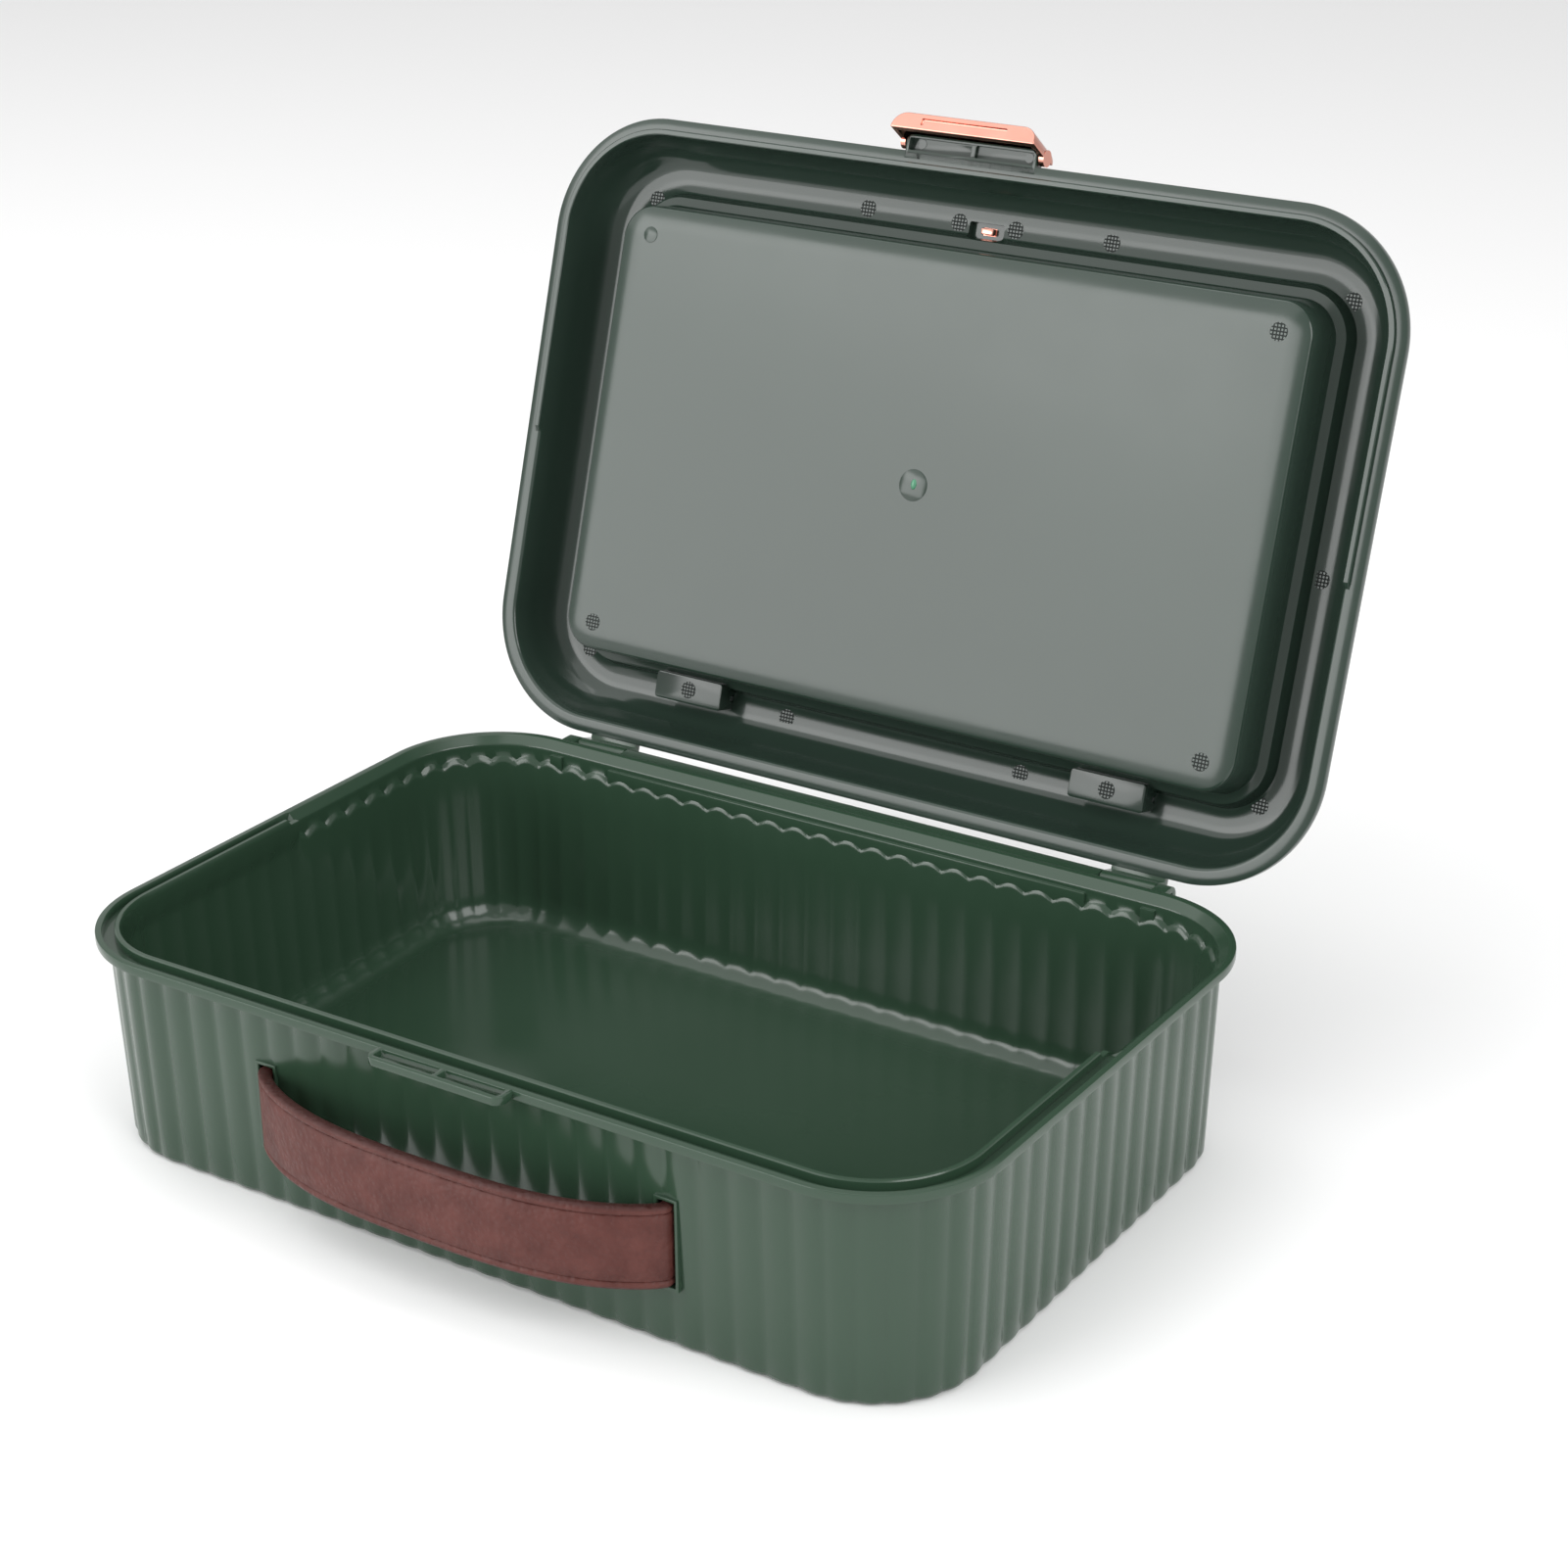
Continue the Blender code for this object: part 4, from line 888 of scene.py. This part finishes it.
def noise(nodes, links, coordinates, scale, detail=3.0, roughness=0.5):
    """A noise value over these coordinates."""
    node = nodes.new("ShaderNodeTexNoise")
    node.inputs["Scale"].default_value = scale
    node.inputs["Detail"].default_value = detail
    node.inputs["Roughness"].default_value = roughness
    links.new(coordinates, node.inputs["Vector"])
    return node.outputs["Fac"]


def spread(nodes, links, value, low, high, start=0.3, end=0.7):
    """Map a noise value onto a range."""
    node = nodes.new("ShaderNodeMapRange")
    node.inputs["From Min"].default_value = start
    node.inputs["From Max"].default_value = end
    node.inputs["To Min"].default_value = low
    node.inputs["To Max"].default_value = high
    links.new(value, node.inputs["Value"])
    return node.outputs["Result"]


MIX_SHARE, MIX_FIRST, MIX_SECOND = 0, 6, 7      # inputs of a Mix node set to colour
MIX_COLOUR = 2                                  # its colour output


def two_tone(nodes, links, value, first, second):
    """A colour between two tones; the first may be another node's output."""
    node = nodes.new("ShaderNodeMix")
    node.data_type = "RGBA"
    if isinstance(first, tuple):
        node.inputs[MIX_FIRST].default_value = first
    else:
        links.new(first, node.inputs[MIX_FIRST])
    node.inputs[MIX_SECOND].default_value = second
    links.new(value, node.inputs[MIX_SHARE])
    return node.outputs[MIX_COLOUR]


def bumped(nodes, links, shader, value, strength, distance, before=None):
    """Relief from a value, on top of the relief before it."""
    node = nodes.new("ShaderNodeBump")
    node.inputs["Strength"].default_value = strength
    node.inputs["Distance"].default_value = distance
    links.new(value, node.inputs["Height"])
    if before is not None:
        links.new(before, node.inputs["Normal"])
    links.new(node.outputs["Normal"], shader.inputs["Normal"])
    return node.outputs["Normal"]


def moulded_plastic(name, dark, light, rough_low, rough_high):
    """Satin moulded plastic: faint flow marks in the colour, a fine uneven gloss and a
    slight ripple left by the mould."""
    material, nodes, links, shader = blank_material(name)
    place = nodes.new("ShaderNodeTexCoord").outputs["Object"]
    flow = noise(nodes, links, place, 9.0, 4.0)
    links.new(two_tone(nodes, links, spread(nodes, links, flow, 0.0, 1.0), dark, light),
              shader.inputs["Base Color"])
    polish = noise(nodes, links, place, 38.0, 5.0, 0.6)
    links.new(spread(nodes, links, polish, rough_low, rough_high), shader.inputs["Roughness"])
    ripple = noise(nodes, links, place, 30.0, 2.0)
    grain = noise(nodes, links, place, 2400.0, 2.0)
    first = bumped(nodes, links, shader, ripple, 0.05, 0.0003)
    bumped(nodes, links, shader, grain, 0.04, 0.00002, first)
    shader.inputs["Specular IOR Level"].default_value = 0.5
    return material


def rose_gold_plating():
    """Bright plated plastic with a faint waviness and fine handling haze."""
    material, nodes, links, shader = blank_material("rose_gold_plating")
    place = nodes.new("ShaderNodeTexCoord").outputs["Object"]
    tint = noise(nodes, links, place, 60.0)
    links.new(two_tone(nodes, links, spread(nodes, links, tint, 0.0, 1.0),
                       (0.60, 0.27, 0.21, 1.0), (0.68, 0.33, 0.26, 1.0)),
              shader.inputs["Base Color"])
    haze = noise(nodes, links, place, 300.0, 5.0, 0.6)
    links.new(spread(nodes, links, haze, 0.07, 0.16), shader.inputs["Roughness"])
    bumped(nodes, links, shader, noise(nodes, links, place, 120.0, 1.0), 0.10, 0.0002)
    shader.inputs["Metallic"].default_value = 1.0
    return material


def steel():
    """Drawn steel with fine lines round the pin."""
    material, nodes, links, shader = blank_material("drawn_steel")
    coordinates = nodes.new("ShaderNodeTexCoord").outputs["Object"]
    stretch = nodes.new("ShaderNodeMapping")
    stretch.inputs["Scale"].default_value = (9000.0, 200.0, 200.0)
    links.new(coordinates, stretch.inputs["Vector"])
    lines = noise(nodes, links, stretch.outputs["Vector"], 1.0, 2.0)
    links.new(two_tone(nodes, links, lines, (0.42, 0.43, 0.44, 1.0), (0.62, 0.63, 0.64, 1.0)),
              shader.inputs["Base Color"])
    links.new(spread(nodes, links, lines, 0.22, 0.40), shader.inputs["Roughness"])
    shader.inputs["Metallic"].default_value = 1.0
    return material


def maths(nodes, links, operation, first, second=None):
    """One sum on numbers or other nodes' outputs."""
    node = nodes.new("ShaderNodeMath")
    node.operation = operation
    for socket, value in zip(node.inputs, (first, second)):
        if value is None:
            continue
        if isinstance(value, float):
            socket.default_value = value
        else:
            links.new(value, socket)
    return node.outputs["Value"]


def leather():
    """Brown strap with a pebbled grain, darker edges and pressed border lines."""
    material, nodes, links, shader = blank_material("brown_leather_grain")
    strap = nodes.new("ShaderNodeAttribute")
    strap.attribute_name = "strap_place"
    place = strap.outputs["Vector"]
    cells = nodes.new("ShaderNodeTexVoronoi")
    cells.feature = "SMOOTH_F1"
    cells.inputs["Scale"].default_value = 620.0
    links.new(place, cells.inputs["Vector"])
    mottle = noise(nodes, links, place, 130.0, 4.0)
    split = nodes.new("ShaderNodeSeparateXYZ")
    links.new(place, split.inputs["Vector"])
    edge = spread(nodes, links, maths(nodes, links, "ABSOLUTE", split.outputs["Y"]),
                  0.0, 1.0, STRAP_HEIGHT / 2 - 0.0012, STRAP_HEIGHT / 2)
    skin_tone = two_tone(nodes, links, spread(nodes, links, mottle, 0.0, 1.0),
                         (0.068, 0.018, 0.014, 1.0), (0.100, 0.030, 0.024, 1.0))
    links.new(two_tone(nodes, links, edge, skin_tone, (0.040, 0.011, 0.009, 1.0)),
              shader.inputs["Base Color"])
    links.new(spread(nodes, links, cells.outputs["Distance"], 0.42, 0.60, 0.0, 0.8),
              shader.inputs["Roughness"])
    shader.inputs["Specular IOR Level"].default_value = 0.28
    grain = noise(nodes, links, place, 700.0, 4.0, 0.65)
    first = bumped(nodes, links, shader, cells.outputs["Distance"], 0.90, 0.00045)
    bumped(nodes, links, shader, grain, 0.70, 0.00025, first)
    return material


HATCH_PITCH = 0.0011


def hatched_plastic(dark, light):
    """Moulded green with a cross-hatch of duller lines cut into it; the lines' darker colour is painted
    shade in the grooves.
    """
    material, nodes, links, shader = blank_material("hatched_green_groove_shade")
    place = nodes.new("ShaderNodeTexCoord").outputs["Object"]
    turn = nodes.new("ShaderNodeMapping")
    turn.inputs["Rotation"].default_value = (math.radians(LID_SWING), 0, 0)
    links.new(place, turn.inputs["Vector"])
    split = nodes.new("ShaderNodeSeparateXYZ")
    links.new(turn.outputs["Vector"], split.inputs["Vector"])
    lines = []
    for name in ("X", "Y"):
        wave = maths(nodes, links, "SINE",
                     maths(nodes, links, "MULTIPLY", split.outputs[name], 2 * math.pi / HATCH_PITCH))
        lines.append(spread(nodes, links, wave, 0.0, 1.0, 0.2, 0.6))
    hatch = maths(nodes, links, "MAXIMUM", lines[0], lines[1])
    # The dark tone on the lines is painted shade in the cut grooves; their duller roughness and their
    # relief are their own.
    links.new(two_tone(nodes, links, hatch, light, dark), shader.inputs["Base Color"])
    links.new(spread(nodes, links, hatch, 0.14, 0.75, 0.0, 1.0), shader.inputs["Roughness"])
    depth = maths(nodes, links, "SUBTRACT", 1.0, hatch)
    bumped(nodes, links, shader, depth, 0.35, 0.0001)
    return material


GREEN = moulded_plastic("green_case_plastic", (0.022, 0.048, 0.028, 1.0),
                        (0.026, 0.055, 0.033, 1.0), 0.15, 0.22)
GREEN_LID = moulded_plastic("green_lid_plastic", (0.020, 0.035, 0.026, 1.0),
                            (0.023, 0.040, 0.030, 1.0), 0.12, 0.18)
NUB = moulded_plastic("pale_gate_plastic", (0.050, 0.200, 0.110, 1.0),
                      (0.070, 0.250, 0.140, 1.0), 0.20, 0.30)
# The first, near-black tone is painted shade for the hatch's grooves.
HATCHED = hatched_plastic((0.002, 0.005, 0.004, 1.0), (0.032, 0.050, 0.040, 1.0))
ROSE_GOLD = rose_gold_plating()
STEEL = steel()
LEATHER = leather()


# ---- Studio -----------------------------------------------------------------------------
def make_floor():
    """A plain pale floor just under the case."""
    bm = bmesh.new()
    bmesh.ops.create_grid(bm, x_segments=1, y_segments=1, size=4.0)
    mesh = bpy.data.meshes.new("studio_floor")
    bm.to_mesh(mesh)
    bm.free()
    floor = bpy.data.objects.new("studio_floor", mesh)
    bpy.context.scene.collection.objects.link(floor)
    floor.location.z = -0.0002
    material, _, _, shader = blank_material("pale_floor")
    shader.inputs["Base Color"].default_value = (0.90, 0.90, 0.90, 1.0)
    shader.inputs["Roughness"].default_value = 0.9
    mesh.materials.append(material)


def softbox(name, place, target, width, height, power):
    """A soft rectangular lamp aimed at a target."""
    light = bpy.data.lights.new(name, "AREA")
    light.shape = "RECTANGLE"
    light.size = width
    light.size_y = height
    light.energy = power
    lamp = bpy.data.objects.new(name, light)
    lamp.location = place
    aim = Vector(target) - Vector(place)
    lamp.rotation_euler = aim.to_track_quat("-Z", "Y").to_euler()
    bpy.context.scene.collection.objects.link(lamp)


def make_lights():
    """Even pale light all round, with four softboxes to shape it."""
    world = bpy.data.worlds.new("studio_air")
    world.use_nodes = True
    world.node_tree.nodes["Background"].inputs["Color"].default_value = (1.0, 1.0, 1.0, 1.0)
    world.node_tree.nodes["Background"].inputs["Strength"].default_value = 0.72
    bpy.context.scene.world = world
    middle = (0.0, 0.0, 0.06)
    softbox("key_softbox", (-0.9, -0.7, 1.4), middle, 2.0, 2.0, 14.0)
    softbox("fill_softbox", (1.5, -0.4, 1.0), middle, 1.2, 1.2, 18.0)
    softbox("top_softbox", (0.0, 0.2, 1.6), middle, 1.2, 0.8, 4.0)
    softbox("panel_softbox", (-1.05, -1.70, 0.62), (0.0, 0.15, 0.17), 1.5, 1.1, 20.0)


CAMERA_PLACE = Vector((0.4920, -0.6826, 0.4765))
CAMERA_TARGET = Vector((0.0424, 0.0, 0.1078))
CAMERA_ROLL = -0.481
CAMERA_LENS = 73.77
CAMERA_SHIFT_X = 0.0014
CAMERA_SHIFT_Y = 0.0313


def make_camera():
    """A long lens from above the case's front right corner."""
    data = bpy.data.cameras.new("case_camera")
    data.lens = CAMERA_LENS
    data.sensor_width = 36.0
    data.shift_x = CAMERA_SHIFT_X
    data.shift_y = CAMERA_SHIFT_Y
    data.clip_start = 0.01
    camera = bpy.data.objects.new("case_camera", data)
    look = (CAMERA_TARGET - CAMERA_PLACE).to_track_quat("-Z", "Y").to_matrix().to_4x4()
    roll = Matrix.Rotation(math.radians(CAMERA_ROLL), 4, "Z")
    camera.matrix_world = Matrix.Translation(CAMERA_PLACE) @ look @ roll
    bpy.context.scene.collection.objects.link(camera)
    bpy.context.scene.camera = camera
    bpy.context.scene.view_settings.view_transform = "Standard"


make_tub()
make_slot_frames()
make_catch_loop()
make_knuckles()
make_lid()
make_leaves()
make_pads()
make_marks()
make_lug()
make_clasp()
make_flap()
make_snap_tab()
make_strap()
make_pins()
make_floor()
make_lights()
make_camera()
